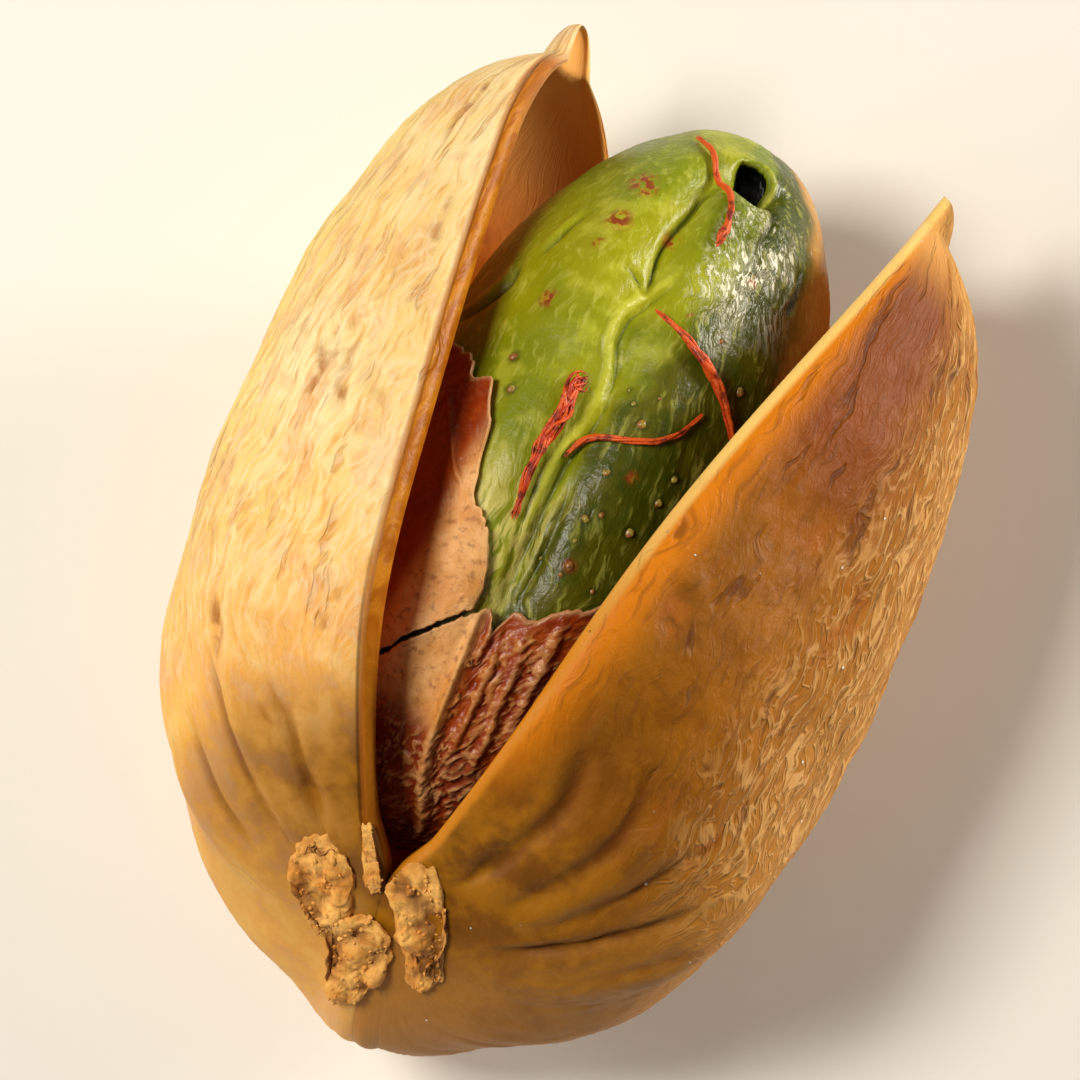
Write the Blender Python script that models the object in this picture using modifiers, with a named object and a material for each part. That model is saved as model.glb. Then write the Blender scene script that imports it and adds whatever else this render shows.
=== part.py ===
"""A pistachio in its shell, lying on its back with the split facing up.

Metres, +Z up. The nut's long axis runs along +Y, from the stem scar to the two tips. The
right valve is on the +X side and the left valve on the -X side. The origin is on the
surface that the nut rests on, under the middle of its bounding box.

The shell is one grown piece: two valves, joined at the stem end and along the first third
of the back seam, sprung apart about that joint. Inside it lies the kernel, with the torn
remains of its papery seed coat and four dry red threads on it. What is left of the stalk
sits on the stem end, parted in two by the split.
"""

import math

import bmesh
import bpy
from mathutils import Matrix, Vector, noise

MM = 0.001

# Closed nut: its length, and its greatest reach from the long axis in three directions
NUT_LENGTH = 22.0 * MM
SIDE_REACH = {"left": 6.57 * MM, "right": 6.76 * MM}
FRONT_REACH = 6.26 * MM
BACK_REACH = 7.05 * MM
WALL = 0.66 * MM

# Each outline: the share of the length at which it is widest, its roundness towards the
# stem end and towards the tip, as pairs of superellipse exponents, and the beak's reach
SIDE_OUTLINE = {
    "left": (0.314, 2.58, 2.0, 1.75, 2.24, 0.79 * MM),
    "right": (0.258, 2.37, 2.41, 1.82, 1.72, 0.79 * MM),
}
FRONT_OUTLINE = (0.38, 2.0, 1.8, 1.6, 2.2, 1.08 * MM)
BACK_OUTLINE = (0.35, 2.78, 2.9, 2.35, 2.83, 1.39 * MM)
BODY_END = 0.955
BEAK_LENGTH = 1.0 * MM
BEAK_TAPER = 0.42
BEAK_START = 0.72
BEAK_FADE = 0.14
BEAK_BLEND = 3.0

# The long axis is slightly bowed, the stem end is cut obliquely, and the right tip is short
BASE_RISE = 0.68 * MM
TIP_RISE = 0.73 * MM
TIP_SHORT = {"left": 0.0, "right": 0.37 * MM}
TIP_SHORT_SPAN = 0.15
STEM_SHEAR = 0.758
STEM_SIDE_SHEAR = 0.042
STEM_SHEAR_FADE = 5.0
STEM_CAP = 0.08

# The split: how far each valve has swung about a hinge line, which crosses the long axis
# at HINGE_Y and leans back from it
SWING = {"left": math.radians(17.0), "right": math.radians(18.3)}
HINGE_LEAN = math.radians(42.0)
HINGE_Y = 1.5 * MM
HINGE_BLEND = 2.5 * MM
LIP_BOW = {"left": -0.25 * MM, "right": -0.44 * MM}
SEAM_CLOSED = 0.02 * MM
RIM_ROUND = 0.2 * MM
RIM_ROUND_FROM = 0.04
RIM_ROUND_UNTIL = 0.08
CLOSED_SEAM_ROUND = 0.3
SEAM_PARTED = 0.4 * MM
RIM_WALL = 0.72
RIM_STEP = 0.014
BEAK_WALL = 0.6
THINNEST_WALL = 0.1

# Ribs that run out from the scar, and broad dents, both fading out before the beak
RIB_HEIGHT = 0.19 * MM
RIBS_PER_VALVE = 5
RIB_PHASE = {"left": -0.94, "right": 0.0}
RIB_FULL = 0.1
RIB_GONE = 0.5
RIB_WAVER = 0.7
DENT_DEPTH = 0.2 * MM
DENT_PITCH = 3.4 * MM
DENT_REACH = 6.6 * MM
DENT_FROM = 0.1
RELIEF_END = 0.8
RELIEF_FADE = 0.12

# Kernel
KERNEL_LENGTH = 18.3 * MM
KERNEL_WIDTH = 9.0 * MM
KERNEL_HEIGHT = 10.2 * MM
KERNEL_CENTRE = Vector((-0.45, 11.5, -0.6)) * MM
KERNEL_YAW = 0.08
KERNEL_BROADEN = 0.03
KERNEL_DENT = 0.13 * MM
CREASE_DEPTH = 0.4 * MM
CREASE_WIDTH = 0.15
CREASE_START = 0.15
CREASE_LEAN = -0.19
CREASE_WAVER = 0.03
CREASE_FROM, CREASE_RISE = -0.75, 0.3
CREASE_UNTIL, CREASE_FALL = 0.9, 0.12
CLEFT_ALONG = 0.86
CLEFT_TURN = 0.36
CLEFT_DEPTH = 0.95 * MM
CLEFT_RADIUS = 0.62 * MM

# Seed coat: how far up the kernel each torn edge reaches, as (turn, along) points. The
# turn is 0 on top and positive towards the right valve.
COAT_EDGE = (
    (-3.14, -0.30),
    (-2.30, -0.44),
    (-1.70, -0.80),
    (-1.00, -0.82),
    (-0.60, -0.77),
    (-0.41, -0.685),
    (-0.20, -0.60),
    (-0.05, -0.54),
    (0.09, -0.475),
    (0.18, -0.45),
    (0.25, -0.49),
    (0.30, -0.42),
    (0.40, -0.42),
    (0.54, -0.34),
    (0.64, -0.30),
    (0.71, -0.20),
    (1.10, -0.24),
    (1.70, -0.12),
    (2.40, -0.26),
    (3.14, -0.30),
)
FLAP_EDGE = (
    (-1.75, 0.16),
    (-1.30, 0.02),
    (-0.95, 0.12),
    (-0.61, 0.095),
    (-0.51, 0.05),
    (-0.39, 0.05),
    (-0.27, -0.05),
    (-0.23, -0.14),
    (-0.18, -0.22),
    (-0.03, -0.28),
    (0.05, -0.36),
    (0.10, -0.43),
)
FLAP_LEFT = -1.75
FLAP_RIGHT = 0.09
CRACK = 0.016
COAT_CLEARANCE = 0.07 * MM
COAT_THICKNESS = 0.14 * MM
COAT_ROW_GROWTH = 1.6

# Remains of the stalk. For each lump: its valve, its middle and its half-widths, as
# (across, up) from the stem end in the plane across the axis, its lean, and its height.
# The middle lump lies across the seam, and the flake reaches out over the split.
SCAR_LUMPS = {
    "stalk_scar_left": ("left", (-1.13, 0.83), (0.74, 1.02), 0.1, 0.24),
    "stalk_scar_middle": ("both", (-0.37, -0.73), (0.86, 1.13), -0.57, 0.3),
    "stalk_scar_right": ("right", (1.04, 0.62), (0.62, 1.38), 0.735, 0.22),
    "stalk_flake": ("left", (-0.03, 1.45), (0.24, 0.62), -0.12, 0.2),
}
STEM_END_REACH = 0.3
SCAR_CLEARANCE = 0.06 * MM
SCAR_RAGGED = 0.2
SCAR_KNOB = 0.5
SCAR_KNOB_PITCH = 0.55 * MM

# Red threads: points on the kernel as (along, turn), with the thread's radius there
THREADS = {
    "red_thread_top": (
        (0.89, -0.47, 0.05),
        (0.87, -0.25, 0.09),
        (0.845, -0.05, 0.10),
        (0.78, 0.17, 0.10),
        (0.725, 0.25, 0.10),
        (0.66, 0.28, 0.16),
        (0.63, 0.27, 0.06),
    ),
    "red_thread_right": (
        (0.415, 0.155, 0.04),
        (0.385, 0.30, 0.09),
        (0.355, 0.43, 0.12),
        (0.335, 0.53, 0.15),
        (0.31, 0.63, 0.12),
        (0.265, 0.75, 0.10),
        (0.225, 0.85, 0.09),
        (0.20, 0.95, 0.05),
    ),
    "red_thread_left": (
        (0.165, 0.02, 0.07),
        (0.13, -0.02, 0.20),
        (0.07, 0.01, 0.20),
        (-0.02, 0.0, 0.17),
        (-0.12, 0.01, 0.12),
        (-0.18, 0.03, 0.08),
        (-0.225, 0.04, 0.04),
    ),
    "red_thread_low": (
        (-0.03, 0.125, 0.04),
        (0.01, 0.145, 0.10),
        (0.045, 0.19, 0.11),
        (0.065, 0.31, 0.09),
        (0.085, 0.40, 0.08),
        (0.11, 0.49, 0.09),
        (0.16, 0.57, 0.07),
        (0.23, 0.63, 0.04),
    ),
}
THREAD_CLEARANCE = 0.05 * MM

# How the nut lies: the pitch that puts its weight over its lowest spot, and the depth of
# the small flat worn there
PITCH = math.radians(-4.0)
FLAT_DEPTH = 0.16 * MM

VALVE_COLUMNS, VALVE_ROWS = 26, 32
KERNEL_SEGMENTS, KERNEL_RINGS = 56, 36
COAT_COLUMNS, COAT_ROWS = 56, 9
FLAP_COLUMNS, FLAP_ROWS = 18, 10
LUMP_SEGMENTS, LUMP_RINGS = 18, 9


def clear_scene():
    for obj in list(bpy.data.objects):
        bpy.data.objects.remove(obj, do_unlink=True)


def smooth_step(value):
    value = min(max(value, 0.0), 1.0)
    return value * value * (3.0 - 2.0 * value)


def along_line(points, place):
    """The height of a line through (place, height) points."""
    for (left, low), (right, high) in zip(points, points[1:]):
        if place <= right:
            return low + (high - low) * (place - left) / (right - left)
    return points[-1][1]


def side_sign(side):
    return -1.0 if side == "left" else 1.0


def outline(t, reach, shape):
    """Distance of the closed shell from its axis, at share t of the length."""
    widest, base_a, base_b, tip_a, tip_b, beak_reach = shape
    if t < widest:
        body = (1.0 - (1.0 - t / widest) ** base_a) ** (1.0 / base_b)
    else:
        beyond = min((t - widest) / (BODY_END - widest), 1.0)
        body = (1.0 - beyond**tip_a) ** (1.0 / tip_b)
    taper = (NUT_LENGTH * (1.0 - t) / BEAK_LENGTH) ** BEAK_TAPER
    beak = beak_reach * taper * smooth_step((t - BEAK_START) / BEAK_FADE)
    return ((reach * body) ** BEAK_BLEND + beak**BEAK_BLEND) ** (1.0 / BEAK_BLEND)


def shell_relief(t, v, side):
    """Ribs, dents and rounded rims, as a height over the plain form."""
    turn = math.tau * RIBS_PER_VALVE * v + RIB_PHASE[side]
    rib_fade = 1.0 - smooth_step((t - RIB_FULL) / (RIB_GONE - RIB_FULL))
    rib_wave = math.cos(turn + RIB_WAVER * math.sin(9.0 * t))
    ribs = RIB_HEIGHT * smooth_step(t / RIB_FULL) * rib_fade * rib_wave
    around = math.pi * v
    spot = Vector((side_sign(side) * math.sin(around), 0.0, math.cos(around))) * DENT_REACH
    spot.y = t * NUT_LENGTH
    dents = DENT_DEPTH * noise.noise(spot / DENT_PITCH) * smooth_step(t / DENT_FROM)
    off_seams = math.sqrt(max(math.sin(around), 0.0))
    return (ribs + dents) * off_seams * (1.0 - smooth_step((t - RELIEF_END) / RELIEF_FADE))


def closed_shell_point(t, v, side, lift):
    """A point of the shell before it split. v runs from the front seam to the back one."""
    around = math.pi * v
    lift += shell_relief(t, v, side)
    reach = outline(t, SIDE_REACH[side], SIDE_OUTLINE[side]) + lift
    front = outline(t, FRONT_REACH, FRONT_OUTLINE) + lift
    back = outline(t, BACK_REACH, BACK_OUTLINE) + lift
    bow = LIP_BOW[side] * math.sin(math.pi * t) ** 2 * (1.0 - v) ** 3
    x = side_sign(side) * (max(reach, 0.0) * math.sin(around) + bow)
    swell = max(front if v < 0.5 else back, 0.0) * math.cos(around)
    y = NUT_LENGTH * t + (STEM_SHEAR * swell + STEM_SIDE_SHEAR * x) * (1.0 - t) ** STEM_SHEAR_FADE
    y -= lift * (1.0 - smooth_step(t / STEM_CAP))
    y -= TIP_SHORT[side] * smooth_step((t - 1.0 + TIP_SHORT_SPAN) / TIP_SHORT_SPAN)
    z = BASE_RISE * (1.0 - t) ** 3 + TIP_RISE * t**3 + swell
    return Vector((x, y, z))


def swung(point, side):
    """The point after its valve has swung open about the hinge line."""
    hinge = Vector((0.0, HINGE_Y, 0.0))
    axis = Vector((0.0, -math.sin(HINGE_LEAN), math.cos(HINGE_LEAN)))
    arm = point - hinge
    clear = arm.y * math.cos(HINGE_LEAN) + arm.z * math.sin(HINGE_LEAN)
    held = (1.0 - smooth_step(abs(point.x) / HINGE_BLEND)) * (1.0 - smooth_step(clear / HINGE_BLEND))
    angle = -side_sign(side) * SWING[side] * (1.0 - held)
    return hinge + Matrix.Rotation(angle, 3, axis) @ arm


def as_it_lies(point):
    return Matrix.Rotation(PITCH, 3, "X") @ point


def shell_point(t, v, side, lift=0.0):
    return as_it_lies(swung(closed_shell_point(t, v, side, lift), side))


def crease_turn(along):
    """Where the crease between the two seed leaves runs over the top of the kernel."""
    return CREASE_START + CREASE_LEAN * along + CREASE_WAVER * math.sin(7.0 * along)


def kernel_relief(along, turn):
    """Dents, the crease, and the cleft near the broad end."""
    ring = math.sqrt(max(1.0 - along * along, 0.0))
    spot = Vector((math.sin(turn) * ring, 2.0 * along, math.cos(turn) * ring))
    dents = KERNEL_DENT * (noise.noise(spot * 1.8) + 0.5 * noise.noise(spot * 4.0))
    crease = math.exp(-(((turn - crease_turn(along)) / CREASE_WIDTH) ** 2))
    crease *= smooth_step((along - CREASE_FROM) / CREASE_RISE)
    crease *= smooth_step((CREASE_UNTIL - along) / CREASE_FALL)
    away = math.hypot(
        KERNEL_LENGTH / 2 * (along - CLEFT_ALONG) / max(ring, 0.3),
        KERNEL_WIDTH / 2 * ring * (turn - CLEFT_TURN),
    )
    cleft = math.exp(-((away / CLEFT_RADIUS) ** 2))
    return dents - CREASE_DEPTH * crease - CLEFT_DEPTH * cleft


def kernel_point(along, turn, lift=0.0):
    """A point of the kernel. along is -1 at the stem end and 1 at the other."""
    ring = math.sqrt(max(1.0 - along * along, 0.0))
    swell = 1.0 + KERNEL_BROADEN * along
    lift += kernel_relief(along, turn) * min(1.0, 3.0 * ring)
    x = (KERNEL_WIDTH / 2 * swell + lift) * ring * math.sin(turn)
    y = (KERNEL_LENGTH / 2 + lift) * along
    z = (KERNEL_HEIGHT / 2 * swell + lift) * ring * math.cos(turn)
    turned = Matrix.Rotation(-KERNEL_YAW, 3, "Z") @ Vector((x, y, z))
    return as_it_lies(KERNEL_CENTRE + turned)


def material(name, colour, roughness):
    made = bpy.data.materials.new(name)
    made.use_nodes = True
    shader = made.node_tree.nodes["Principled BSDF"]
    shader.inputs["Base Color"].default_value = (*colour, 1.0)
    shader.inputs["Roughness"].default_value = roughness
    shader.inputs["Metallic"].default_value = 0.0
    return made


def new_object(name, shape, collection, finish, weld=1e-7):
    bmesh.ops.remove_doubles(shape, verts=shape.verts, dist=weld)
    mesh = bpy.data.meshes.new(name)
    shape.to_mesh(mesh)
    shape.free()
    mesh.materials.append(finish)
    mesh.shade_smooth()
    mesh.set_sharp_from_angle(angle=math.radians(50.0))
    obj = bpy.data.objects.new(name, mesh)
    collection.objects.link(obj)
    return obj


def add_wall(obj, thickness, offset):
    wall = obj.modifiers.new("wall", "SOLIDIFY")
    wall.thickness = thickness
    wall.offset = offset
    if obj.vertex_groups:
        wall.vertex_group = obj.vertex_groups[0].name
    return wall


def bent_grid(shape, columns, rows, place, flip=False):
    """Adds a grid to shape, each vertex moved to place(column, row)."""
    made = bmesh.ops.create_grid(shape, x_segments=columns, y_segments=rows, size=0.5)["verts"]
    cells = [(round((v.co.x + 0.5) * columns), round((v.co.y + 0.5) * rows)) for v in made]
    for vertex, (column, row) in zip(made, cells):
        vertex.co = place(column, row)
    if flip:
        bmesh.ops.reverse_faces(shape, faces=list({f for v in made for f in v.link_faces}))
    return list(zip(made, cells))


def row_share(row, rows):
    """Rows crowd together towards both ends, where the form curves most."""
    return (1.0 - math.cos(math.pi * row / rows)) / 2.0


def column_share(column):
    """Columns are even, but for one close to each rim that makes the rim's round."""
    if column in (0, VALVE_COLUMNS):
        return column / VALVE_COLUMNS
    return RIM_STEP + (1.0 - 2.0 * RIM_STEP) * (column - 1) / (VALVE_COLUMNS - 2)


def wall_share(t, side, on_rim):
    """The wall is thinner at the rims, and thins out in the beak."""
    across = outline(t, SIDE_REACH[side], SIDE_OUTLINE[side])
    room = min(across, outline(t, FRONT_REACH, FRONT_OUTLINE))
    share = 1.0 if t < 0.5 else min(1.0, BEAK_WALL * room / WALL)
    return max(share, THINNEST_WALL) * (RIM_WALL if on_rim else 1.0)


def rim_drop(t, v, side):
    """How far the rim vertices lie under the form, which rounds the rim where it is open."""
    parted = abs(swung(closed_shell_point(t, v, side, 0.0), side).x)
    share = CLOSED_SEAM_ROUND + (1.0 - CLOSED_SEAM_ROUND) * smooth_step(parted / SEAM_PARTED)
    ends = smooth_step(t / RIM_ROUND_FROM) * smooth_step((1.0 - t) / RIM_ROUND_UNTIL)
    return RIM_ROUND * share * ends


def build_shell(collection, finish):
    shape = bmesh.new()
    weights = shape.verts.layers.deform.verify()
    for side in ("left", "right"):

        def place(column, row, side=side):
            on_rim = column in (0, VALVE_COLUMNS)
            t, v = row_share(row, VALVE_ROWS), column_share(column)
            drop = rim_drop(t, v, side) if on_rim else 0.0
            point = shell_point(t, v, side, -drop)
            if on_rim and abs(point.x) < SEAM_CLOSED:
                point.x = 0.0
            return point

        for vertex, (column, row) in bent_grid(shape, VALVE_COLUMNS, VALVE_ROWS, place, side == "left"):
            on_rim = column in (0, VALVE_COLUMNS)
            vertex[weights][0] = wall_share(row_share(row, VALVE_ROWS), side, on_rim)
    lowest = min(vertex.co.z for vertex in shape.verts)
    for vertex in shape.verts:
        vertex.co.z = max(vertex.co.z, lowest + FLAT_DEPTH)
    obj = new_object("shell", shape, collection, finish)
    obj.vertex_groups.new(name="wall share")
    add_wall(obj, WALL, -1.0)
    return obj


def build_kernel(collection, finish):
    shape = bmesh.new()
    bmesh.ops.create_uvsphere(shape, u_segments=KERNEL_SEGMENTS, v_segments=KERNEL_RINGS, radius=1.0)
    for vertex in shape.verts:
        along = min(max(vertex.co.z, -1.0), 1.0)
        vertex.co = kernel_point(along, math.atan2(vertex.co.x, -vertex.co.y))
    return new_object("kernel", shape, collection, finish)


def build_coat_cup(collection, finish):
    """The lower part of the coat, a cup round the kernel's stem end."""
    shape = bmesh.new()

    def place(column, row):
        turn = math.tau * column / COAT_COLUMNS - math.pi
        edge = along_line(COAT_EDGE, turn)
        share = row / COAT_ROWS
        along = -1.0 + (edge + 1.0) * share**COAT_ROW_GROWTH
        return kernel_point(along, turn, COAT_CLEARANCE)

    bent_grid(shape, COAT_COLUMNS, COAT_ROWS, place)
    obj = new_object("seed_coat_cup", shape, collection, finish)
    add_wall(obj, COAT_THICKNESS, 1.0)
    return obj


def build_coat_flap(collection, finish):
    """The loose piece of coat that a crack parts from the cup."""
    shape = bmesh.new()

    def place(column, row):
        turn = FLAP_LEFT + (FLAP_RIGHT - FLAP_LEFT) * column / FLAP_COLUMNS
        low = along_line(COAT_EDGE, turn) + CRACK
        high = along_line(FLAP_EDGE, turn)
        return kernel_point(low + (high - low) * row / FLAP_ROWS, turn, COAT_CLEARANCE)

    bent_grid(shape, FLAP_COLUMNS, FLAP_ROWS, place)
    obj = new_object("seed_coat_flap", shape, collection, finish)
    add_wall(obj, COAT_THICKNESS, 1.0)
    return obj


def on_stem_end(spot, lift, valve):
    """The point of the stem end that is spot (across, up) from its middle."""
    side = valve
    if valve == "both":
        side = "left" if spot.x < 0.0 else "right"
    v = math.atan2(side_sign(side) * spot.x, spot.y) / math.pi
    low, high = 0.0, STEM_END_REACH
    for _ in range(30):
        t = (low + high) / 2.0
        point = closed_shell_point(t, v, side, 0.0)
        if math.hypot(point.x, point.z - BASE_RISE) < spot.length:
            low = t
        else:
            high = t
    return shell_point(t, v, side, lift)


def build_scar_lump(name, collection, finish):
    valve, middle, halves, lean, height = SCAR_LUMPS[name]
    shape = bmesh.new()
    bmesh.ops.create_uvsphere(shape, u_segments=LUMP_SEGMENTS, v_segments=LUMP_RINGS, radius=1.0)
    for vertex in shape.verts:
        ragged = 1.0 + SCAR_RAGGED * noise.noise(vertex.co * 2.2 + Vector((0.0, 0.0, height * 20.0)))
        flat = Vector((vertex.co.x * halves[0], vertex.co.y * halves[1])) * ragged
        spot = (Vector(middle) + Matrix.Rotation(lean, 2) @ flat) * MM
        knobs = 1.0 + SCAR_KNOB * noise.noise(Vector((spot.x, spot.y, height)) / SCAR_KNOB_PITCH)
        rise = max(vertex.co.z, 0.0) ** 0.6 * height * MM * knobs
        vertex.co = on_stem_end(spot, SCAR_CLEARANCE + rise, valve)
    shape.normal_update()
    bmesh.ops.recalc_face_normals(shape, faces=shape.faces)
    return new_object(name, shape, collection, finish)


def build_thread(name, collection, finish):
    curve = bpy.data.curves.new(name, "CURVE")
    curve.dimensions = "3D"
    curve.bevel_depth = 1.0 * MM
    curve.bevel_resolution = 1
    curve.use_fill_caps = True
    points = THREADS[name]
    spline = curve.splines.new("POLY")
    spline.points.add(len(points) - 1)
    for point, (along, turn, radius) in zip(spline.points, points):
        point.co = (*kernel_point(along, turn, THREAD_CLEARANCE + radius * MM), 1.0)
        point.radius = radius
    curve.materials.append(finish)
    obj = bpy.data.objects.new(name, curve)
    collection.objects.link(obj)
    return obj


def stand_at_origin(collection):
    """Moves everything together, so that the box's bottom centre is at the origin."""
    bpy.context.view_layer.update()
    corners = [obj.matrix_world @ Vector(c) for obj in collection.objects for c in obj.bound_box]
    low = Vector([min(c[axis] for c in corners) for axis in range(3)])
    high = Vector([max(c[axis] for c in corners) for axis in range(3)])
    shift = Vector(((low.x + high.x) / -2.0, (low.y + high.y) / -2.0, -low.z))
    for obj in collection.objects:
        obj.location = shift


def main():
    clear_scene()
    collection = bpy.data.collections.new("pistachio in shell")
    bpy.context.scene.collection.children.link(collection)
    shell_finish = material("shell", (0.72, 0.50, 0.25), 0.55)
    kernel_finish = material("kernel", (0.30, 0.38, 0.06), 0.35)
    coat_finish = material("seed coat", (0.34, 0.14, 0.06), 0.6)
    stalk_finish = material("stalk", (0.58, 0.38, 0.18), 0.85)
    thread_finish = material("red thread", (0.48, 0.05, 0.01), 0.5)
    build_shell(collection, shell_finish)
    build_kernel(collection, kernel_finish)
    build_coat_cup(collection, coat_finish)
    build_coat_flap(collection, coat_finish)
    for name in SCAR_LUMPS:
        build_scar_lump(name, collection, stalk_finish)
    for name in THREADS:
        build_thread(name, collection, thread_finish)
    stand_at_origin(collection)


main()
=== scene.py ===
# %% [markdown]
# # A pistachio in its shell
# The nut lies on its back with the split facing up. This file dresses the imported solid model:
# each CAD node is replaced by a finer piece that is made here from the same sizes. The frame is
# loaded first, because every piece has to sit where the solid model says.

import math

import bmesh
import bpy
import numpy as np
from mathutils import Matrix, Vector, noise


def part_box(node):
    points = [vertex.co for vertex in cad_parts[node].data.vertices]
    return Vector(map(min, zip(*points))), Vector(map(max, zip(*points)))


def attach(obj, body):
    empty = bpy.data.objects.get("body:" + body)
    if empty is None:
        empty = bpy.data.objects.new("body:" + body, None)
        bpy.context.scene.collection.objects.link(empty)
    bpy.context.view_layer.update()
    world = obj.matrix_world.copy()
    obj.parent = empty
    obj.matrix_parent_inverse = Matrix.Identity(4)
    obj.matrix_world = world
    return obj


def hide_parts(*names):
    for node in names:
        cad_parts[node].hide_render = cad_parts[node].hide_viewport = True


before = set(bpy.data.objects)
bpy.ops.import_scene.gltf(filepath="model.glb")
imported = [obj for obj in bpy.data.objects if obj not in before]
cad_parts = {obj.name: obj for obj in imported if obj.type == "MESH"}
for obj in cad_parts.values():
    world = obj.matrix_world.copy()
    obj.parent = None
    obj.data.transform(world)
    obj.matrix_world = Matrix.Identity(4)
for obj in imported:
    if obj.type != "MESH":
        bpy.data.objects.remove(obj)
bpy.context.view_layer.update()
print("nodes:", sorted(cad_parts))

# %% [markdown]
# ## The nut's own form
# A pistachio shell is a hollow of two valves. Sculpting it by hand would give no way back to
# the solid model, so its form is a rule: how far the skin lies from the long axis at each share
# of the length, in three directions. Sizes are in millimetres here and become metres when a mesh
# is made.

# %% Sizes of the shell
MM = 0.001
LEFT, RIGHT = -1, 1
NUT_LENGTH = 22.0
SIDE_REACH, FRONT_REACH, BACK_REACH = {LEFT: 6.57, RIGHT: 6.76}, 6.26, 7.05
WALL = 0.66
SIDE_OUTLINE = {LEFT: (0.314, 2.58, 2.0, 1.75, 2.24, 0.79), RIGHT: (0.258, 2.37, 2.41, 1.82, 1.72, 0.79)}
FRONT_OUTLINE = (0.38, 2.0, 1.8, 1.6, 2.2, 1.08)
BACK_OUTLINE = (0.35, 2.78, 2.9, 2.35, 2.83, 1.39)
BODY_END = 0.955
BEAK_START, BEAK_FADE, BEAK_LENGTH, BEAK_TAPER, BEAK_BLEND = 0.72, 0.14, 1.0, 0.42, 3.0
BASE_RISE, TIP_RISE, TIP_SHORT, TIP_SHORT_SPAN = 0.68, 0.73, {LEFT: 0.0, RIGHT: 0.37}, 0.15
STEM_SHEAR, STEM_SIDE_SHEAR, STEM_SHEAR_FADE, STEM_CAP = 0.758, 0.042, 5.0, 0.08
SWING = {LEFT: math.radians(17.0), RIGHT: math.radians(18.3)}
HINGE_LEAN, HINGE_Y, HINGE_BLEND = math.radians(42.0), 1.5, 2.5
LIP_BOW = {LEFT: -0.25, RIGHT: -0.44}
RIB_HEIGHT, RIBS_PER_VALVE, RIB_FULL, RIB_GONE = 0.19, 5, 0.1, 0.5
RIB_WAVER, RIB_WAVES, RIB_PHASE = 0.7, 9.0, {LEFT: -0.94, RIGHT: 0.0}
DENT_DEPTH, DENT_PITCH, DENT_REACH, DENT_FROM = 0.2, 3.4, 6.6, 0.1
RELIEF_END, RELIEF_FADE = 0.8, 0.12
PITCH = math.radians(-4.0)
LEAST_HOLLOW = 0.04


def smooth(value):
    """Eases from 0 to 1 while value goes from 0 to 1."""
    value = np.clip(value, 0.0, 1.0)
    return value * value * (3.0 - 2.0 * value)


def perlin(points):
    """Smooth noise, about -1 to 1, at each point of an array."""
    flat = np.asarray(points, float).reshape(-1, 3)
    return np.array([noise.noise(p) for p in flat.tolist()]).reshape(np.shape(points)[:-1])


def outline(t, reach, shape):
    """Distance of the closed shell from its axis, at share t of the length."""
    widest, base_a, base_b, tip_a, tip_b, beak_reach = shape
    t = np.clip(t, 0.0, 1.0)
    base = np.clip(1.0 - np.clip(1.0 - t / widest, 0, 1) ** base_a, 0, 1) ** (1.0 / base_b)
    beyond = np.clip((t - widest) / (BODY_END - widest), 0.0, 1.0)
    body = np.where(t < widest, base, (1.0 - beyond**tip_a) ** (1.0 / tip_b))
    taper = (NUT_LENGTH * (1.0 - t) / BEAK_LENGTH) ** BEAK_TAPER
    beak = beak_reach * taper * smooth((t - BEAK_START) / BEAK_FADE)
    return ((reach * body) ** BEAK_BLEND + beak**BEAK_BLEND) ** (1.0 / BEAK_BLEND)


print("closed nut:", round(SIDE_REACH[LEFT] + SIDE_REACH[RIGHT], 2), "mm across,",
      round(FRONT_REACH + BACK_REACH, 2), "mm deep")

# %% [markdown]
# ## Ribs, dents and the split
# Shallow ribs run out from the stem scar, and broad dents lie all over, as a shell has that
# dried around its fruit. The nut split at ripening: each valve swung open about a hinge line at
# the stem end. So the closed form is made first and then swung, as the real one was.

# %% From the closed form to the open one
def broad_relief(t, v, side):
    """Height of the ribs and dents at share t of the length and v of the way round."""
    turn = math.tau * RIBS_PER_VALVE * v + RIB_PHASE[side]
    rib_fade = smooth(t / RIB_FULL) * (1.0 - smooth((t - RIB_FULL) / (RIB_GONE - RIB_FULL)))
    ribs = RIB_HEIGHT * rib_fade * np.cos(turn + RIB_WAVER * np.sin(RIB_WAVES * t))
    around = math.pi * v
    across, up = side * np.sin(around) * DENT_REACH, np.cos(around) * DENT_REACH
    spot = np.stack([across, t * NUT_LENGTH, up], -1)
    dents = DENT_DEPTH * perlin(spot / DENT_PITCH) * smooth(t / DENT_FROM)
    off_seams = np.sqrt(np.clip(np.sin(around), 0.0, 1.0))
    return (ribs + dents) * off_seams * (1.0 - smooth((t - RELIEF_END) / RELIEF_FADE))


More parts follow.
